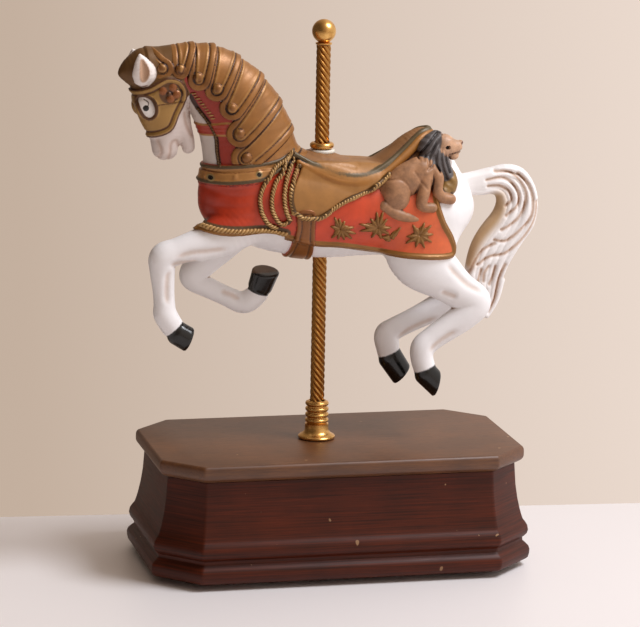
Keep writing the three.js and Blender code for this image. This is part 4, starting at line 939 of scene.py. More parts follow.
# Cloth, breast band and girth, laid over the body.
harness = {
    "blanket": [(-66, 151), (-60.5, 148.4), (-52, 146.4), (-43.4, 146), (-31, 146.3), (-21, 143.8), (-10.8, 141.3),
        (1.4, 140.2), (19.6, 136.8), (34, 135.3), (48, 134.9), (51, 137), (48.6, 142.6), (44.6, 149.1), (42, 156),
        (40, 168), (10, 174), (-14, 178), (-24, 174), (-36, 172.4), (-50, 171), (-66, 170)],
    "band": [(-66, 174.8), (-60, 174.9), (-50, 175.3), (-36, 176.6), (-26.8, 178.3), (-19, 182), (-22, 176.5),
        (-32, 170.3), (-38, 168.6), (-50, 167.4), (-60, 167.6), (-66, 167.8)],
    "girth": [(-19.5, 156), (-12.4, 156), (-11.9, 148), (-11.7, 130), (-21.6, 130), (-20.8, 140), (-19.6, 148)],
    "hem": [(-62, 150), (-60.5, 148.4), (-52, 146.4), (-43.4, 146), (-31, 146.3), (-21, 143.8), (-10.8, 141.3),
        (1.4, 140.2), (19.6, 136.8), (34, 135.3), (48, 134.9), (50.6, 137), (48.6, 142.6), (44.6, 149.1), (42, 156),
        (41.2, 161)],
    "frontHem": [(-66, 151.5), (-60.5, 150.2), (-52, 148.5), (-43.4, 148.1), (-33, 148.2), (-24, 146.2)],
    "studs": [(-55.6, 170), (-45.4, 170.4), (-36.2, 172)],
    "folds": [[(-58, 165), (-46, 162.5), (-36, 163.5)], [(-60, 160), (-50, 157.5), (-38, 158.5)],
        [(-57, 154.5), (-46, 153.5), (-37, 154)]],
    "bandBead": (0.8, 0.75, 0.55), "girthGroove": (-2, 0.5, -0.45), "blanketThick": 0.8, "bandThick": 1,
    "girthThick": 1.3, "foldDip": (1.6, -0.22), "hemBead": (1.05, 0.8), "frontBead": (1.3, 0.5),
}


def rimAt(p, outline):
    return np.abs(regionAt(p, outline))


def raised(spot, facing, height):
    # a place above a spot on the surface, as x, z, y
    x, y, z = spot + facing * height
    return x, z, y


studSpots = spotsOn(bodyForm, harness["studs"])


def clothForm(p):
    clay = Clay(p)
    under = bodyForm(p)
    clay.d = under
    clay.cover(harness["blanket"], harness["blanketThick"])
    for fold in harness["folds"]:
        clay.ridge(fold, *harness["foldDip"], None, True)
    clay.ridge(harness["hem"], *harness["hemBead"], lambda q: q[:, 0] > -24)
    clay.ridge(harness["frontHem"], *harness["frontBead"], lambda q: q[:, 0] < -21)
    clay.cover(harness["band"], harness["bandThick"])
    clay.swell(rimAt(p, harness["band"]), harness["bandBead"])
    for spot, facing in studSpots:
        clay.ball(raised(spot, facing, 1.2) + (1.5, 1.0, 1.5), 0.2)
    clay.cover(harness["girth"], harness["girthThick"], side=lambda q: q[:, 2] < 158)
    girthRim = regionAt(p, harness["girth"])
    clay.swell(np.where(p[:, 2] < 155, girthRim, far), harness["girthGroove"])
    edge = np.minimum(np.minimum(regionAt(p, harness["blanket"]), girthRim), regionAt(p, harness["band"]))
    edge = np.where(p[:, 0] > -24, np.minimum(edge, strokeAt(p, harness["hem"]) - 1.3), edge)
    shell = softMax(clay.d, edge - 0.3, 0.4)
    return softMax(shell, -(under + 1.2), 0.2)


def studAt(p):
    return np.minimum(spotAt(p, harness["studs"][0]), spotAt(p, harness["studs"][-1]))


clothLook = dict(glaze, base="cc4421", roughness=0.42, mottleMm=7, unevenMm=0.5,
    layers=[("ruby", "ad2f12", 0.4, 0, 5), ("orange", "dc6a3c", 0.4, 0, 5), ("frontHem", "5d4426", 0.45, 0.2, 0.3),
            ("hem", "94662f", 0.38, 0.35, 0.2), ("girth", "8a5527", 0.38, 0.3, 0.2),
            ("girthLine", "57341a", 0.45, 0.1, 0.2), ("band", "b07c45", 0.36, 0.3, 0.2),
            ("bandRim", "5a482e", 0.45, 0.15, 0.3), ("studRing", "9c8458", 0.35, 0.2, 0.2),
            ("studDark", "191512", 0.25, 0, 0.15)],
    washes=[("groove", 0.2, 0.75, "8a4a26", 0.7)],
    mottle=0.13, coat=0.08)
# red-orange glaze, deeper at the chest, with dull gold trim
clothPaint = porcelainPaint("red_glaze", clothLook)
sculpt("saddle_cloth", clothForm, (-64, -21, 128), (54, 21, 184), 0.55, {
    "ruby": lambda p: -(p[:, 0] + 34) * 0.25 - 2,
    "orange": lambda p: (p[:, 0] - 26) * 0.2,
    "hem": lambda p: 1.5 - strokeAt(p, harness["hem"]),
    "frontHem": lambda p: np.where(p[:, 0] < -20, 2.2 - strokeAt(p, harness["frontHem"]), -3),
    "girth": insideOf(harness["girth"]),
    "girthLine": lambda p: 0.3 - np.abs(regionAt(p, harness["girth"]) + 2),
    "band": insideOf(harness["band"]),
    "studRing": lambda p: 1.5 - studAt(p),
    "studDark": lambda p: 0.95 - studAt(p),
    "bandRim": lambda p: np.minimum(-regionAt(p, harness["band"]), 1.5 - rimAt(p, harness["band"])),
}, clothPaint)

# Saddle: dished seat between two pipings, skirt below.
saddle = {
    "seat": [(-15, 172, 0, 7.6, 12.2), (-5, 170.8, 0, 8.6, 13), (5, 166.9, 0, 9.2, 13.8), (15, 165.8, 0, 9.6, 14),
        (24, 167, 0, 8.8, 11.8), (32, 172.4, 0, 8.6, 9), (37.5, 178, 0, 7.6, 6.8)],
    "cantle": [(12, 168.5, 0, 4.4, 9), (18, 171, 0, 4.6, 8.6), (25.6, 176.2, 0, 4.6, 7.2), (32, 181.6, 0, 4.2, 5.4),
        (37, 185.2, 0, 3.2, 3.4), (40.4, 186.6, 0, 1.7, 1.8)],
    "upper": [(-21, 180.2, -10, 1.1, 1.1), (-13.3, 176, -11.8, 1.1, 1.1), (-5.6, 172.6, -12.9, 1.1, 1.1),
        (2.1, 170.6, -13.5, 1.1, 1.1), (10.4, 170.3, -13.2, 1.1, 1.1), (17.6, 173, -11.5, 1.2, 1.2),
        (25.6, 178, -8.4, 1.2, 1.2), (32, 183, -6, 1.2, 1.2), (37, 186.8, -3.7, 1.2, 1.2),
        (40.5, 187.9, -1.7, 1.2, 1.2), (41.3, 187.9, 0, 1.2, 1.2)],
    "lower": [(-18.5, 176.5, -11.8, 1, 1), (-8.4, 171, -13.6, 1.2, 1.2), (0.6, 167.9, -14.4, 1.3, 1.3),
        (10.2, 167.3, -14.2, 1.5, 1.4), (17.2, 169.8, -12.6, 1.7, 1.5), (24.8, 174.8, -10.2, 1.9, 1.6),
        (31.2, 179.8, -7.9, 2, 1.7), (36.6, 184.4, -5.6, 2, 1.7), (40.6, 186.4, -2.6, 1.7, 1.6),
        (42, 186.4, 0, 1.6, 1.6)],
    "skirt": [(-15, 176), (-18.6, 171), (-21.3, 165.3), (-21.9, 159.9), (-20.3, 155.5), (-16.5, 153.2),
        (-11.3, 153.4), (-5, 157.2), (1.3, 160.9), (9.5, 164), (16, 168), (20, 174), (0, 176)],
    "creases": [[(-20, 183), (-12, 178.5), (-4, 176), (6, 173.5)], [(-8, 180), (0, 178), (8, 175)],
        [(14, 176), (22, 179), (30, 184)]],
    "creaseDip": (0.8, -0.22), "skirtThick": 1.8,
}


def saddleForm(p):
    clay = Clay(p)
    under = bodyForm(p)
    clay.d = under.copy()
    for part in (saddle["seat"], saddle["cantle"]):
        clay.join([part], 1.5)
    for crease in saddle["creases"]:
        clay.ridge(crease, *saddle["creaseDip"])
    clay.cover(saddle["skirt"], saddle["skirtThick"])
    for piping in (saddle["upper"], saddle["lower"]):
        clay.join([piping, mirrored(piping)], 0.5)
    axis = np.hypot(p[:, 0] + 5.6, p[:, 1])
    clay.d = softMax(clay.d, 3.5 - axis, 0.1)
    shell = np.where(under - clay.d < 0.25, np.maximum(clay.d, 0.4), clay.d)
    return softMax(shell, -(under + 1.0), 0.2)


saddleLook = dict(glaze, base="8c6139", roughness=0.58, brushMm=0.9, unevenMm=0.6,
    layers=[("skirt", "a5733a", 0.5, 0.1, 0.3), ("lower", "a06a2c", 0.5, 0.2, 0.25),
            ("upper", "5f4f33", 0.45, 0.15, 0.25)],
    washes=[("groove", 0.15, 0.65, "6f4726", 0.9)],
    coat=0.05)
# tan glaze on the seat, gold lustre on the skirt and lower piping, olive on the upper
saddlePaint = porcelainPaint("tan_glaze", saddleLook)


def pairAt(p, run, blend=0.5):
    return limbsAt(p, [run, mirrored(run)], blend)


sculpt("saddle", saddleForm, (-24, -19, 150), (50, 19, 192), 0.5, {
    "skirt": insideOf(saddle["skirt"]),
    "upper": lambda p: 0.45 - pairAt(p, saddle["upper"], 0.1),
    "lower": lambda p: 0.45 - pairAt(p, saddle["lower"], 0.1),
}, saddlePaint)

# Neck armour: each plate stands over the next one back, with a double rim round its rivet.
armour = {
    "plates": [((-83, 219, 7), (-76.7, 216.5, 4.6)), ((-67, 226, 5.2), (-69.2, 215.6, 3.6)),
        ((-58.5, 227, 6), (-61.4, 211.6, 4.6)), ((-47.5, 224.5, 7), (-54, 207.4, 4.8)),
        ((-36, 218.5, 7.6), (-47.4, 199.9, 5.2)), ((-25.5, 209.5, 7.6), (-43.9, 188.8, 5.6)),
        ((-18, 199, 7.6), (-41.5, 178.6, 6)), ((-13.5, 187.5, 8), (-33, 176, 7))],
    "rim": 2.4,
    "rivets": [(-76.7, 216.5), (-69.2, 216.1), (-61.7, 212.7), (-53.5, 207.9), (-47.4, 199.7), (-44.2, 188.8),
        (-41.2, 178.7)],
    "lip": (-1.1, 0.45, 0.22), "crease": (-0.3, 0.35, -0.25),
}


def plateParts(p, under):
    # each plate's own distance, and how far in from its edge each point lies
    parts = []
    for top, end in armour["plates"]:
        edge = tongueAt(p, top, end)
        along = np.array([top[0] - end[0], top[1] - end[1]])
        along = along / np.linalg.norm(along)
        off = ((p[:, 0] - end[0]) * along[1] - (p[:, 2] - end[1]) * along[0]) / top[2]
        low = (end[1] - p[:, 2]) / end[2]
        rise = 0.55 * np.clip(np.maximum(off, low * 0.8), -1, 1)
        lip = 0.22 * smoothStep(edge, -armour["rim"] - 0.3, -armour["rim"] + 0.5)
        lip += beadAt(edge + armour["rim"], armour["lip"]) + beadAt(edge + armour["rim"], armour["crease"])
        parts.append((softMax(under - 1 - rise - lip, edge, 0.4), -edge))
    return parts


def barePlates(p):
    under = bodyForm(p)
    d = np.minimum.reduce([plate for plate, _ in plateParts(p, under)])
    return softMax(softMax(d, 176 - p[:, 2], 0.5), -(under + 1.2), 0.2)


rivetSpots = spotsOn(barePlates, armour["rivets"])


def armourForm(p):
    clay = Clay(p)
    clay.d = barePlates(p)
    for spot, facing in rivetSpots:
        clay.ball(raised(spot, facing, 0.2) + (2.1, 1.5, 2.1), 0.25)
    return clay.d


def plateLine(p, middle, width):
    # a painted line that keeps its distance inside the edge of whichever plate is outermost
    parts = plateParts(p, bodyForm(p))
    outer = np.argmin([plate for plate, _ in parts], axis=0)
    inset = np.stack([inset for _, inset in parts])[outer, np.arange(len(p))]
    return width - np.abs(inset - middle)


armourLook = dict(glaze, base="96642f", roughness=0.44, metallic=0.3, unevenMm=0.3,
    layers=[("shade", "7d4f22", 0.42, 0.25, 3.5), ("glint", "a97c44", 0.4, 0.3, 0.4),
            ("line", "4e2a0e", 0.5, 0.1, 0.22)],
    washes=[("groove", 0.12, 0.6, "5e3514", 0.9)],
    mottle=0.15)
# bronze-gold lustre, with a painted highlight along a thin ridge inside each rim and painted shade low on the plates
# near the rivets
armourPaint = porcelainPaint("bronze_lustre", armourLook)
neckShade = [(-84, 221), (-78, 218), (-66, 214), (-57, 209), (-50, 201), (-45, 190), (-41, 178)]
sculpt("neck_armour", armourForm, (-92, -18, 172), (-6, 18, 234), 0.45, {
    "line": lambda p: plateLine(p, armour["rim"] + 0.25, 0.28),
    "glint": lambda p: plateLine(p, armour["rim"] + 1.1, 0.3),
    "shade": lambda p: 2.0 - strokeAt(p, neckShade),
}, armourPaint)

# Head: face, mask with its peak, ears and eyes.
head = {
    "skull": [(-76, 212.5, 0, 10.3, 7.6), (-76.3, 205.5, 0, 10.2, 7.8), (-74.2, 198.5, 0, 10.6, 7.2),
        (-72.8, 192, 0, 9, 6.2), (-73.4, 186, 0, 6.8, 5.2), (-73.6, 181.4, 0, 5.6, 4.9)],
    "chin": [(-67.5, 192, 0, 4.6, 4.4), (-64.9, 186, 0, 3.6, 3.6), (-63.8, 182, 0, 2.9, 3.1)],
    "peak": [(-82, 215, 0, 9.3, 7.4), (-87.6, 214.6, 0, 5.5, 4.6), (-92.3, 213.6, 0, 1, 1.4)],
    "ear": [(-84.6, 211, -6.6, 3.8, 2), (-84.5, 214.5, -8.2, 4.9, 2.4), (-85.4, 219, -8.4, 3.2, 1.8),
        (-86.2, 222, -8, 0.8, 0.8)],
    "earHollow": [(-84.9, 211.5, -10.4, 1.3, 1.2), (-84.6, 215.5, -11, 1.9, 1.6), (-85.6, 220, -10.5, 0.7, 0.8)],
    "helmet": [(-97, 214), (-92, 205), (-89, 202), (-66, 204), (-66, 212), (-70, 220), (-72, 230), (-90, 228)],
    "mask": [(-94, 207), (-93, 198), (-90, 188), (-82.6, 186.8), (-73, 189.8), (-69.5, 196.8), (-66.7, 202.4),
        (-66.8, 207.3), (-69.7, 211.2), (-74.6, 212.2), (-78.2, 210.6), (-82.4, 208.2), (-88, 206.6)],
    "eyeRim": [(-86.7, 203.8), (-84.1, 204.8), (-80.9, 203.3), (-79.1, 199.7), (-79.6, 196.5), (-81.6, 195.1),
        (-84.1, 196.5), (-86.2, 200.3)],
    "eye": (-82.9, 200), "pupil": (-83.4, 199.8), "rosette": (-74, 206),
    "petals": [(-76.6, 207.2), (-72.4, 208.6), (-73.3, 203.8), (-70.8, 205.6)],
    "nostril": (-78.2, 180.8),
    "mouth": [(-66.6, 174, 0, 1.1, 9), (-67.2, 179.5, 0, 1.2, 9), (-67.4, 181.6, 0, 0.9, 9)],
    "lips": [[(-72.9, 176.6), (-72.4, 180.5), (-72.2, 184), (-69.9, 185.4), (-68.6, 183)],
        [(-77.5, 185.5), (-76, 181), (-77, 177.5)]],
    "jaw": [(-66.5, 197), (-65.4, 192), (-62.8, 187)],
    "maskBead": (0.5, 0.75, 0.55), "maskGroove": (-2.1, 0.5, -0.3), "eyeBead": (0.5, 0.7, 0.6), "helmetThick": 0.7,
    "maskThick": 0.9, "lipDip": (0.7, -0.3), "jawDip": (1.2, -0.3),
}


def headForm(p):
    clay = Clay(p)
    clay.join([horse["neck"]], 1)
    clay.d = softMax(clay.d, p[:, 0] + 64, 1)
    for part, blend in (("skull", 3), ("chin", 1.6), ("peak", 2)):
        clay.join([head[part]], blend)
    clay.cover(head["helmet"], head["helmetThick"])
    clay.cover(head["mask"], head["maskThick"])
    clay.swell(rimAt(p, head["mask"]), head["maskBead"], 5)
    clay.swell(regionAt(p, head["mask"]), head["maskGroove"], 5)
    clay.swell(regionAt(p, head["eyeRim"]), head["eyeBead"], 5)
    eyeX, eyeZ = head["eye"]
    for side in (1, -1):
        clay.ball((eyeX, eyeZ, side * -9.0, 4.0, 3.2, 4.9), 0.4, cut=True)
        clay.ball((eyeX, eyeZ, side * -4.9, 4.4, 2.9, 5.2), 0.3)
        for x, z in head["petals"]:
            clay.ball((x, z, side * -9, 2.1, 1.3, 2.1), 0.3)
        clay.ball((*head["rosette"], side * -9.4, 1, 1.2, 1), 0.2)
        clay.ball((*head["nostril"], side * -4.4, 1.2, 1.3, 0.8), 0.4, cut=True)
        turn = (lambda run: run) if side > 0 else mirrored
        clay.join([turn(head["ear"])], 0.8)
        clay.carve([turn(head["earHollow"])], 0.5)
    clay.carve([head["mouth"]], 0.8)
    for line in head["lips"]:
        clay.ridge(line, *head["lipDip"])
    clay.ridge(head["jaw"], *head["jawDip"])
    return clay.d


def earsAt(p):
    return pairAt(p, head["ear"])


headLook = dict(glaze, base="d9cbc4", roughness=0.48, brushMm=0.7, unevenMm=0.25,
    layers=[("helmet", "6c4a22", 0.48, 0.3, 0.3), ("strap", "9c2c18", 0.42, 0, 0.2),
            ("mask", "a27b40", 0.4, 0.3, 0.2), ("rim", "5a3416", 0.45, 0.15, 0.25),
            ("eyeRim", "5f3a18", 0.45, 0.15, 0.25), ("eye", "e3dcd6", 0.25, 0, 0.2), ("lid", "54453a", 0.3, 0, 0.12),
            ("pupil", "0a0807", 0.15, 0, 0.12), ("plaque", "5f3c1c", 0.45, 0.2, 0.4),
            ("petal", "8a5128", 0.3, 0.4, 0.3), ("ear", "efe6e0", 0.48, 0, 0.25),
            ("earHollow", "bf9a7d", 0.55, 0, 0.4)],
    washes=[("groove", 0.14, 0.65, "8a6145", 0.9), ("lips", 0.0, 1.2, "d0b29c", 0.6)],
    mottle=0.06, bump=0.12, bumpMm=0.1, coat=0.12)
# white bisque face under a bronze mask, the eyes glazed
headPaint = porcelainPaint("face_porcelain", headLook)
lidLine = [(-84.2, 203.5), (-82.4, 202.2), (-82.6, 200.6)]
sculpt("horse_head", headForm, (-97, -15, 172), (-60, 15, 228), 0.36, {
    "helmet": lambda p: np.minimum(-regionAt(p, head["helmet"]), 1 + earsAt(p)),
    "strap": lambda p: np.minimum(-regionAt(p, strap), p[:, 0] + 68.5),
    "mask": insideOf(head["mask"]),
    "rim": lambda p: 0.42 - np.minimum(np.abs(regionAt(p, head["mask"]) + 2.0),
                                       np.abs(regionAt(p, head["mask"]) - 0.3)),
    "eyeRim": lambda p: 0.75 - np.abs(regionAt(p, head["eyeRim"]) - 0.1),
    "eye": lambda p: -regionAt(p, head["eyeRim"]) - 0.5,
    "pupil": lambda p: 1.3 - spotAt(p, head["pupil"]),
    "lid": lambda p: 0.25 - strokeAt(p, lidLine),
    "plaque": lambda p: 4.2 - spotAt(p, head["rosette"]),
    "petal": lambda p: np.maximum.reduce([1.7 - spotAt(p, q) for q in head["petals"]]),
    "ear": lambda p: 0.5 - earsAt(p),
    "earHollow": lambda p: 0.45 - pairAt(p, head["earHollow"]),
    "lips": lambda p: np.maximum.reduce([1 - strokeAt(p, q) / 1.5 for q in head["lips"] + [head["jaw"]]]),
}, headPaint)

# Tail: one mass of hair with long grooves between its locks.
tail = {
    "inner": [(60, 159.5), (65, 158.6), (69.5, 159), (72.6, 157.3), (73.2, 153.5), (71, 148.5), (66, 142.5),
        (62.2, 136.5), (60, 129), (59.6, 122), (62, 113), (66.5, 105.8)],
    "outer": [(58, 166.6), (67.5, 168.8), (76.6, 171.2), (84.4, 169.4), (89.6, 162.4), (91.5, 154), (90.1, 145.8),
        (85, 137.9), (80.8, 130), (77.8, 121.5), (75.4, 112), (70.5, 104.6)],
    "locks": 6,
    "root": [(54, 162.5, 0.6, 4.6, 3.6), (62, 163.6, 0.8, 4.6, 3.6), (69, 165, 1, 4.4, 3.6),
        (75, 165.6, 1, 3.6, 3.2)],
    "grooves": [[(67.8, 162.8), (73.1, 162.7), (77.3, 160.1), (78.5, 156.4), (76, 154)],
        [(67, 165.4), (73.7, 166.4), (78.3, 164.1), (81.8, 159.2), (81.2, 154.1), (76.4, 149.5)],
        [(70.7, 169), (76.6, 168.8), (81.2, 165.8), (84.8, 159.9), (84.6, 154.1), (81.1, 147.6), (74.4, 143.3)],
        [(81.2, 168), (85.8, 163.5), (88.3, 156.9), (87.8, 148.9), (82.7, 143.1), (76.8, 138.5), (71.5, 139)],
        [(90, 155.4), (89.7, 148.8), (86.5, 142.3), (81.4, 136.5), (75.5, 132.6), (69.5, 131.7), (64.4, 128.2)],
        [(71.6, 137.5), (66.4, 134.7), (63.2, 130.4), (60.7, 124.6)], [(69.3, 127.3), (67.5, 124.4), (67.2, 120.7)],
        [(72.3, 127.2), (71.3, 122.8), (70, 119.2)], [(76.8, 127.8), (74, 121.3), (72.7, 112.4), (70, 107)],
        [(66, 126), (64.6, 118), (66.6, 110)], [(84, 134), (79.6, 128), (77, 122)]],
    "shadow": [(72.6, 157.3), (73.2, 153.5), (71, 148.5), (66, 142.5), (62.2, 136.5), (60, 129)],
    "grooveDip": (1.1, -0.8),
}


def tailLocks():
    count = tail["locks"]
    found = []
    for index in range(count):
        share = 0.13 + 0.74 * index / (count - 1)
        lock = []
        for i, (x, z) in enumerate(tail["inner"]):
            ox, oz = tail["outer"][i]
            width = math.hypot(ox - x, oz - z) / count
            end = i / (len(tail["inner"]) - 1)
            sway = (1 if index % 2 else -1) * 0.2 * math.sin(math.pi * end)
            thick = (3.2 + 1.2 * math.sin(math.pi * min(1, end * 1.2))) * (0.6 if end > 0.85 else 1)
            lock.append((x + (ox - x) * share, z + (oz - z) * share, 1 + sway, max(width * 0.78, 1), thick))
        found.append(lock)
    return found


locks = tailLocks()


def tailForm(p):
    clay = Clay(p)
    clay.join(locks, 3, 3)
    clay.join([tail["root"]], 3)
    for line in tail["grooves"]:
        clay.ridge(line, *tail["grooveDip"])
    return clay.d


def grooveMark(p):
    return np.maximum.reduce([1 - strokeAt(p, line) / 1.3 for line in tail["grooves"]])


# inside: a tan painted shadow along the tail's inner edge, beside the body
tailLook = dict(bisque, base="f6f3f2", layers=[("inside", "bd9c74", 0.5, 0, 2.8)],
                washes=[("furrow", 0.0, 1.2, "bd8e5e", 0.85), ("groove", 0.3, 1.0, "d2b596", 0.5)])
tailPaint = porcelainPaint("tail_porcelain", tailLook)
sculpt("horse_tail", tailForm, (54, -8, 98), (96, 10, 176), 0.42, {
    "furrow": grooveMark,
    "inside": lambda p: 3.0 - strokeAt(p, tail["shadow"]),
}, tailPaint)

# The little lion crouching behind the saddle on the near side.
lion = {
    "body": [(21.5, 162.5, -12.5, 6, 4.4), (28, 167.5, -13, 7.2, 5), (35, 171.8, -12.4, 6.4, 4.8),
        (40, 174.5, -10.6, 5.4, 4.4)],
    "haunch": (24, 162.4, -15, 6, 4, 8),
    "foot": [(18.5, 157.2, -15, 2.7, 2.6), (24, 153.8, -16, 2.5, 2.4), (29, 152.2, -16, 2.1, 2),
        (32.6, 151.4, -16, 1.3, 1.4)],
    "armLow": [(36.6, 170, -14.4, 3.8, 3.4), (35.6, 163.3, -16, 2.9, 2.7), (34.8, 157.4, -16.2, 2.5, 2.5),
        (39.5, 156.2, -16, 2.2, 2.2)],
    "armUp": [(39.4, 172.6, -13.8, 3, 2.8), (41.8, 169, -15, 2.6, 2.4), (41.6, 164, -15.2, 2.4, 2.4),
        (43.6, 160.6, -15, 2.3, 2.3), (48, 159.4, -14.4, 2.3, 2.2)],
    "shoulder": (35.5, 172, -14.2, 5.2, 3.6, 4.6),
    "mane": [(43, 184.5, -7.6, 4, 4), (40.2, 179.6, -9, 6.2, 5.2), (43.6, 173.4, -9.8, 5, 4.6),
        (47.4, 168.4, -9.4, 2.6, 2.8)],
    "skull": (45.8, 181.8, -8.4, 5, 4.6, 5), "brow": (47.4, 184, -10.2, 2.4, 1.8, 1.3),
    "muzzle": [(48.6, 181, -8.4, 3.9, 3.6), (51.2, 181, -8.4, 3.1, 2.9)],
    "nose": (53.2, 183, -8.4, 1.2, 1.7, 1), "chin": (50.2, 177.4, -8.4, 2.4, 2.2, 2),
    "mouth": [(47.8, 178.2, 0), (50.4, 178.8, 0), (54, 179.8, 0)],
    "eye": (46.6, 181.4),
    "rock": [(44, 172, -6, 5, 5), (48.5, 166, -8, 4, 5), (44, 160.5, -11, 4, 4), (36, 154.5, -13, 3.4, 3)],
    "strands": [[(46, 187.6), (42.4, 184.6), (39.4, 180.4), (35.6, 177)], [(40.4, 178), (39.4, 174.6), (36.6, 172.8)],
        [(44.6, 188.6), (41, 186), (36.8, 181.5), (33.6, 177)], [(45.6, 186.5), (41, 182), (38, 177), (37.5, 174)],
        [(44.6, 184), (41.6, 179.5), (41, 175), (42.5, 171.5)],
        [(44, 181.5), (43.4, 177), (44.4, 172.5), (46.6, 168)], [(45.6, 178.6), (46.2, 174.6), (47.8, 170.5)],
        [(43.6, 187.2), (38.8, 183), (35.2, 178.4)]],
    "creases": [[(20, 168.4), (25.5, 168.6), (29.4, 164), (29.8, 158), (27.9, 154.9)],
        [(36.5, 164.5), (33.4, 168.5), (31, 172)], [(38.4, 168), (38.6, 163), (37.4, 158.6)]],
    "creaseDip": (0.7, -0.3), "strandDip": (0.8, -0.9), "mouthDip": (0.5, -0.45),
}


def pawsAt(p):
    clay = Clay(p)
    clay.join([lion["body"], lion["foot"], lion["armLow"], lion["armUp"]], 0.5)
    clay.ball(lion["haunch"], 0.5)
    return clay.d


def lionForm(p):
    clay = Clay(p)
    clay.join([lion["rock"]], 1.5)
    lumps = 0.2 * np.sin(p[:, 0] * 1.3 + p[:, 2] * 0.9) * np.sin(p[:, 2] * 0.8)
    clay.d = clay.d - np.where(np.abs(clay.d) < 4, lumps, 0)
    clay.join([lion["body"]], 1)
    clay.ball(lion["shoulder"], 0.8)
    clay.ball(lion["haunch"], 0.8)
    clay.join([lion["foot"], lion["armLow"], lion["armUp"]], 0.5)
    for line in lion["creases"]:
        clay.ridge(line, *lion["creaseDip"], lambda q: q[:, 1] < -6)
    clay.join([lion["mane"]], 0.5)
    for line in lion["strands"]:
        clay.ridge(line, *lion["strandDip"], lambda q: q[:, 1] < -6)
    clay.ball(lion["skull"], 0.8)
    clay.ball(lion["brow"], 0.6)
    clay.join([lion["muzzle"]], 0.8)
    clay.ball(lion["nose"], 0.4)
    clay.ball(lion["chin"], 0.6)
    clay.ball((*lion["eye"], -12.4, 1.1, 1.2, 0.8), 0.3, cut=True)
    clay.ridge(lion["mouth"], *lion["mouthDip"])
    return clay.d


def faceAt(p):
    clay = Clay(p)
    clay.ball(lion["skull"], 0.1)
    clay.join([lion["muzzle"]], 0.8)
    clay.ball(lion["chin"], 0.6)
    return clay.d


lionLook = dict(glaze, base="a57855", roughness=0.5, mottleMm=3.5, brushMm=0.7, unevenMm=0.4,
    layers=[("rock", "8b6a38", 0.45, 0.15, 0.4), ("mane", "5a5453", 0.5, 0, 0.3), ("face", "c49a7a", 0.45, 0, 0.4),
            ("eye", "1c1210", 0.2, 0, 0.15), ("nose", "6d3f30", 0.35, 0, 0.3)],
    washes=[("groove", 0.1, 0.6, "5b4236", 0.95)],
    mottle=0.3, bump=0.2)
# tawny brown glaze with a slate mane and a paler face
lionPaint = porcelainPaint("tawny_glaze", lionLook)
sculpt("lion", lionForm, (12, -22, 146), (58, 2, 192), 0.34, {
    "mane": lambda p: 0.5 - limbsAt(p, [lion["mane"]], 1),
    "rock": lambda p: np.minimum(0.6 - limbsAt(p, [lion["rock"]], 1), pawsAt(p) - 0.4),
    "face": lambda p: np.minimum(0.6 - faceAt(p), (p[:, 0] - 43.4) - 0.2 * (p[:, 2] - 181)),
    "eye": lambda p: np.where(p[:, 1] < -8, 0.75 - spotAt(p, lion["eye"]), -3),
    "nose": lambda p: 1.2 - np.hypot(p[:, 0] - 54.4, (p[:, 2] - 182.8) * 1.2),
}, lionPaint)


# Ropes before the saddle and round its skirt: a dark core with bright strands wound over it.
ropes = {
    "loops": [[(-20.9, 180.5), (-27.8, 175.4), (-33.4, 169), (-35.8, 162.2), (-35.2, 156), (-32.4, 151.2), (-28, 149)],
        [(-21.5, 179), (-26.2, 173.2), (-29.6, 167), (-30.8, 160.8), (-29.8, 155), (-26.6, 151), (-23.4, 151.6)],
        [(-20.5, 178.6), (-23.2, 172.6), (-24.9, 166.5), (-25.3, 160.5), (-24.5, 156), (-22.8, 152.6)]],
    "border": [(-18, 175.4), (-20.6, 170.6), (-21.9, 165.3), (-22.2, 160), (-20.6, 155.8), (-16.5, 153.4),
        (-11.3, 153.6), (-5, 157.2), (1.3, 160.8), (9.5, 163.9), (15.4, 167.6), (20.4, 171)],
    "radius": 1, "strand": (3, 1.15, 2.3), "pitch": 1.3, "slant": 0.72,
}


def dressedForm(p):
    return np.minimum.reduce([bodyForm(p), clothForm(p), saddleForm(p)])


def ropeCore(line, side, radius, sink=0.2):
    # the middle of a rope that follows the line over the dressed horse, a little sunk in
    spots = spotsOn(dressedForm, flow(line, 3)[:, :2], side)
    return [raised(spot, facing, radius - sink) + (radius, radius) for spot, facing in spots]


cores = [ropeCore(line, side, ropes["radius"]) for line in ropes["loops"] + [ropes["border"]] for side in (-1, 1)]


# dark bronze: painted shadow on the rope cores for the shade between the strands, and the dark edging of the strap
ropePaint = porcelainPaint("rope_bronze", dict(armourLook, base="5a3f1e", layers=[]))
sculpt("rope_loops", lambda p: limbsAt(p, cores, 0.2, 2), (-40, -24, 144), (26, 24, 186), 0.42, {}, ropePaint)


def strandsAlong(core, size, pitch):
    # strands wound on a core: spots on its outer side, facing out, running along
    run = flow([(c[0], c[2], c[1]) for c in core], 4)
    gone = np.concatenate([[0], np.cumsum(np.linalg.norm(np.diff(run, axis=0), axis=1))])
    at = np.arange(pitch / 2, gone[-1], pitch)
    spots = np.stack([np.interp(at, gone, run[:, k]) for k in range(3)], 1)
    along = np.stack([np.interp(at + 0.5, gone, run[:, k]) - np.interp(at - 0.5, gone, run[:, k]) for k in range(3)], 1)
    _, facing = slope(dressedForm, spots, 0.3)
    return spots + facing * 0.35, facing, along, np.tile(np.array(size) * mm, (len(at), 1))


def layStrands(name, sets, values):
    spots, facing, along, size = [np.concatenate(part) for part in zip(*sets)]
    piece = grow(name, beads, spots, {"facing": facing, "along": along, "size": size}, values)
    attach(piece, "root")
    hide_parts("horse")
    report(f"{name} laid, {len(spots)} strands")


beads = strandTree()
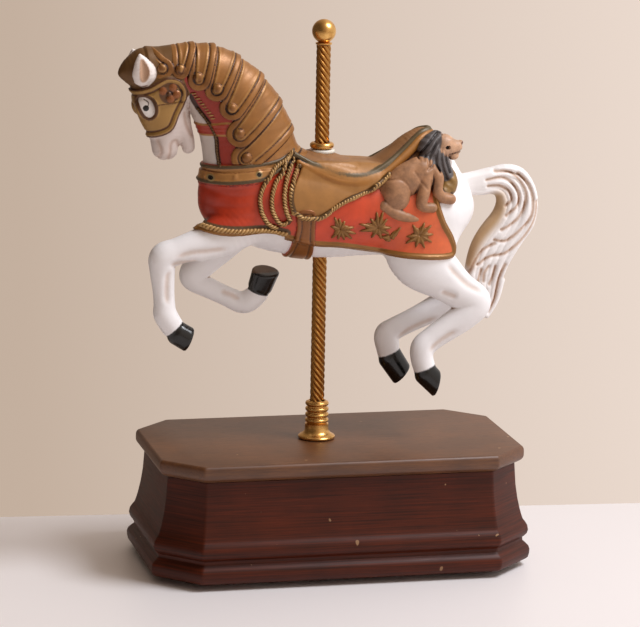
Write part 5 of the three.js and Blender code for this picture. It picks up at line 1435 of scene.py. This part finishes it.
# bright bronze on the strands: their own gilding, lifted by a painted highlight on their crowns
strandPaint = porcelainPaint("strand_bronze", dict(armourLook, base="b8925c", layers=[], washes=[]))
layStrands("rope_strands", [strandsAlong(core, ropes["strand"], ropes["pitch"]) for core in cores],
           {"Slant": ropes["slant"], "Unevenness": 0.1, "Seed": 5, "Material": strandPaint})
# Smaller trims: line, half thickness, depth sunk in, strand size, pitch, slant, unevenness, seed and finish.
trims = {
    "strap_edging": (strapLeft[1:], 0.5, 0.3, (1.9, 0.85, 1.4), 1.15, 0.6, 0.1, 9, ropePaint),
    "strap_pattern": ([(-63.6, 206.4), (-60, 202), (-56.6, 197.6), (-54.6, 194.6)], 0.4, 0.4, (2.3, 0.6, 0.8), 1.5,
                      1.1, 0.2, 4, strandPaint),
    "hem_strands": (harness["frontHem"], 0.9, 0.5, (3.3, 1.35, 2.2), 1.6, 0.7, 0.1, 8, strandPaint),
}
for name, (line, radius, sink, size, pitch, slant, uneven, seed, finish) in trims.items():
    layStrands(name, [strandsAlong(ropeCore(line, side, radius, sink), size, pitch) for side in (-1, 1)],
               {"Slant": slant, "Unevenness": uneven, "Seed": seed, "Material": finish})

# Leaves on the cloth: spiky fans of pointed blades.
leaves = {
    "fans": [((-0.9, 148.1), [(-3.7, 153.3), (-1.5, 152.6), (0.9, 151.5), (-5, 149.3), (-4.1, 144.1), (-1.4, 143.3),
        (1.4, 143), (4.7, 143.2), (5.9, 145.8), (4.8, 148.7)]), ((15.5, 148.2), [(14.8, 154.9), (17.5, 154.9),
        (12.1, 152.4), (7.3, 150.1), (7.9, 146.9), (19.6, 152.1), (21.2, 148.1), (20.7, 145.2), (13.2, 143.8),
        (17.4, 143.2)]), ((21.5, 143.3), [(17.2, 144.2), (19.4, 142.2), (23.3, 144.9), (25.6, 148.3)]),
        ((33.6, 144.7), [(35.8, 150), (38.9, 148.8), (39.7, 144.9), (39.3, 141.5), (36.1, 139), (32.2, 139.5),
        (28, 141.2), (28.3, 144.1), (30.7, 149.1)])],
    "blades": [(0.55, 1.02, 1.5, 1.9), (0.36, 0.74, 2.9, 1.4)],
}


def bladesOf(side):
    middles, alongs, sizes = [], [], []
    for (bx, bz), tips in leaves["fans"]:
        for tx, tz in tips:
            reach = math.hypot(tx - bx, tz - bz)
            for share, length, width, height in leaves["blades"]:  # a slim point over a broad base
                middles.append((bx + (tx - bx) * share, bz + (tz - bz) * share))
                alongs.append((tx - bx, 0, tz - bz))
                sizes.append((reach * length * mm, width * mm, height * mm))
    found = spotsOn(dressedForm, middles, side)
    facing = np.array([n for _, n in found])
    return np.array([s for s, _ in found]) + facing * 0.1, facing, np.array(alongs), np.array(sizes)


# gilded bronze, a little darker than the ropes
leafPaint = porcelainPaint("leaf_bronze", dict(armourLook, base="8c622f", layers=[], washes=[]))
layStrands("gold_leaves", [bladesOf(-1), bladesOf(1)],
           {"Slant": 0.0, "Unevenness": 0.06, "Seed": 2, "Material": leafPaint})


# Camera, floor and light.
view = {"lens": 197.94, "sensor": 36.0, "place": (-355.07, -1440.66, 417.55), "yaw": 13.656, "pitch": 11.786,
        "roll": 1.085}
yaw, pitch, roll = [math.radians(view[key]) for key in ("yaw", "pitch", "roll")]
ahead = Vector((math.sin(yaw) * math.cos(pitch), math.cos(yaw) * math.cos(pitch), -math.sin(pitch)))
level = Vector((math.cos(yaw), -math.sin(yaw), 0))
above = level.cross(ahead)
right = level * math.cos(roll) + above * math.sin(roll)
upward = above * math.cos(roll) - level * math.sin(roll)
cameraData = bpy.data.cameras.new("camera")
cameraData.lens, cameraData.sensor_width = view["lens"], view["sensor"]
cameraData.clip_start, cameraData.clip_end = 0.05, 50
camera = addObject("camera", cameraData)
turn = Vector((0, 0, 0)).to_track_quat("Z", "Y").to_matrix()
turn.col[0], turn.col[1], turn.col[2] = right, upward, -ahead
camera.rotation_mode = "QUATERNION"
camera.rotation_quaternion = turn.to_quaternion()
camera.location = Vector(view["place"]) * mm
bpy.context.scene.camera = camera

# pale tabletop that ends at a line behind the horse
table = {"backLeft": (-130.9, 87.1), "slope": -0.0821, "reach": 2500, "colour": "f4f0f0", "roughness": 0.45}
reach = table["reach"]
floorMesh = bpy.data.meshes.new("floor")
backLeft, backRight = [table["backLeft"][1] + (x - table["backLeft"][0]) * table["slope"] for x in (-reach, reach)]
floorMesh.from_pydata([(x * mm, y * mm, 0) for x, y in
                       [(-reach, -reach), (reach, -reach), (reach, backRight), (-reach, backLeft)]],
                      [], [(0, 1, 2, 3)])
floor = addObject("floor", floorMesh)
floorPaint = bpy.data.materials.new("pale_tabletop")
floorPaint.use_nodes = True
base = floorPaint.node_tree.nodes["Principled BSDF"]
base.inputs["Base Color"].default_value = toLinear(table["colour"])
base.inputs["Roughness"].default_value = table["roughness"]
floorMesh.materials.append(floorPaint)

# studio surround: darker on the left, brighter towards the right
surround = {"dark": "5f534a", "left": "c4b09f", "right": "ead9cd", "bright": "f3ebe6"}
world = bpy.data.worlds.new("studio")
bpy.context.scene.world = world
world.use_nodes = True
tree = world.node_tree
across = addNode(tree, "ShaderNodeTexCoord", out="Generated")
across = addNode(tree, "ShaderNodeSeparateXYZ", {0: across})
across = addNode(tree, "ShaderNodeMapRange", {"Value": across, "From Min": -1.0, "From Max": 1.0})
blend = addNode(tree, "ShaderNodeValToRGB", {0: across})
ramp = blend.node.color_ramp
ramp.elements[0].position, ramp.elements[0].color = 0.2, toLinear(surround["dark"])
ramp.elements[1].position, ramp.elements[1].color = 0.95, toLinear(surround["bright"])
for spot, key in ((0.575, "left"), (0.66, "right")):
    ramp.elements.new(spot).color = toLinear(surround[key])
tree.links.new(blend, tree.nodes["Background"].inputs["Color"])

# one large soft lamp, high on the right
lamp = {"place": (500, -300, 950), "aim": (0, 0, 150), "size": 450, "power": 8.3, "colour": "f5f8ff"}
light = bpy.data.lights.new("key", "AREA")
light.shape, light.size, light.energy = "DISK", lamp["size"] * mm, lamp["power"]
light.color = toLinear(lamp["colour"])[:3]
holder = addObject("key", light)
holder.location = Vector(lamp["place"]) * mm
holder.rotation_mode = "QUATERNION"
holder.rotation_quaternion = (Vector(lamp["aim"]) - Vector(lamp["place"])).to_track_quat("-Z", "Y")

bpy.context.scene.view_settings.view_transform = "Standard"
report("stage lit")
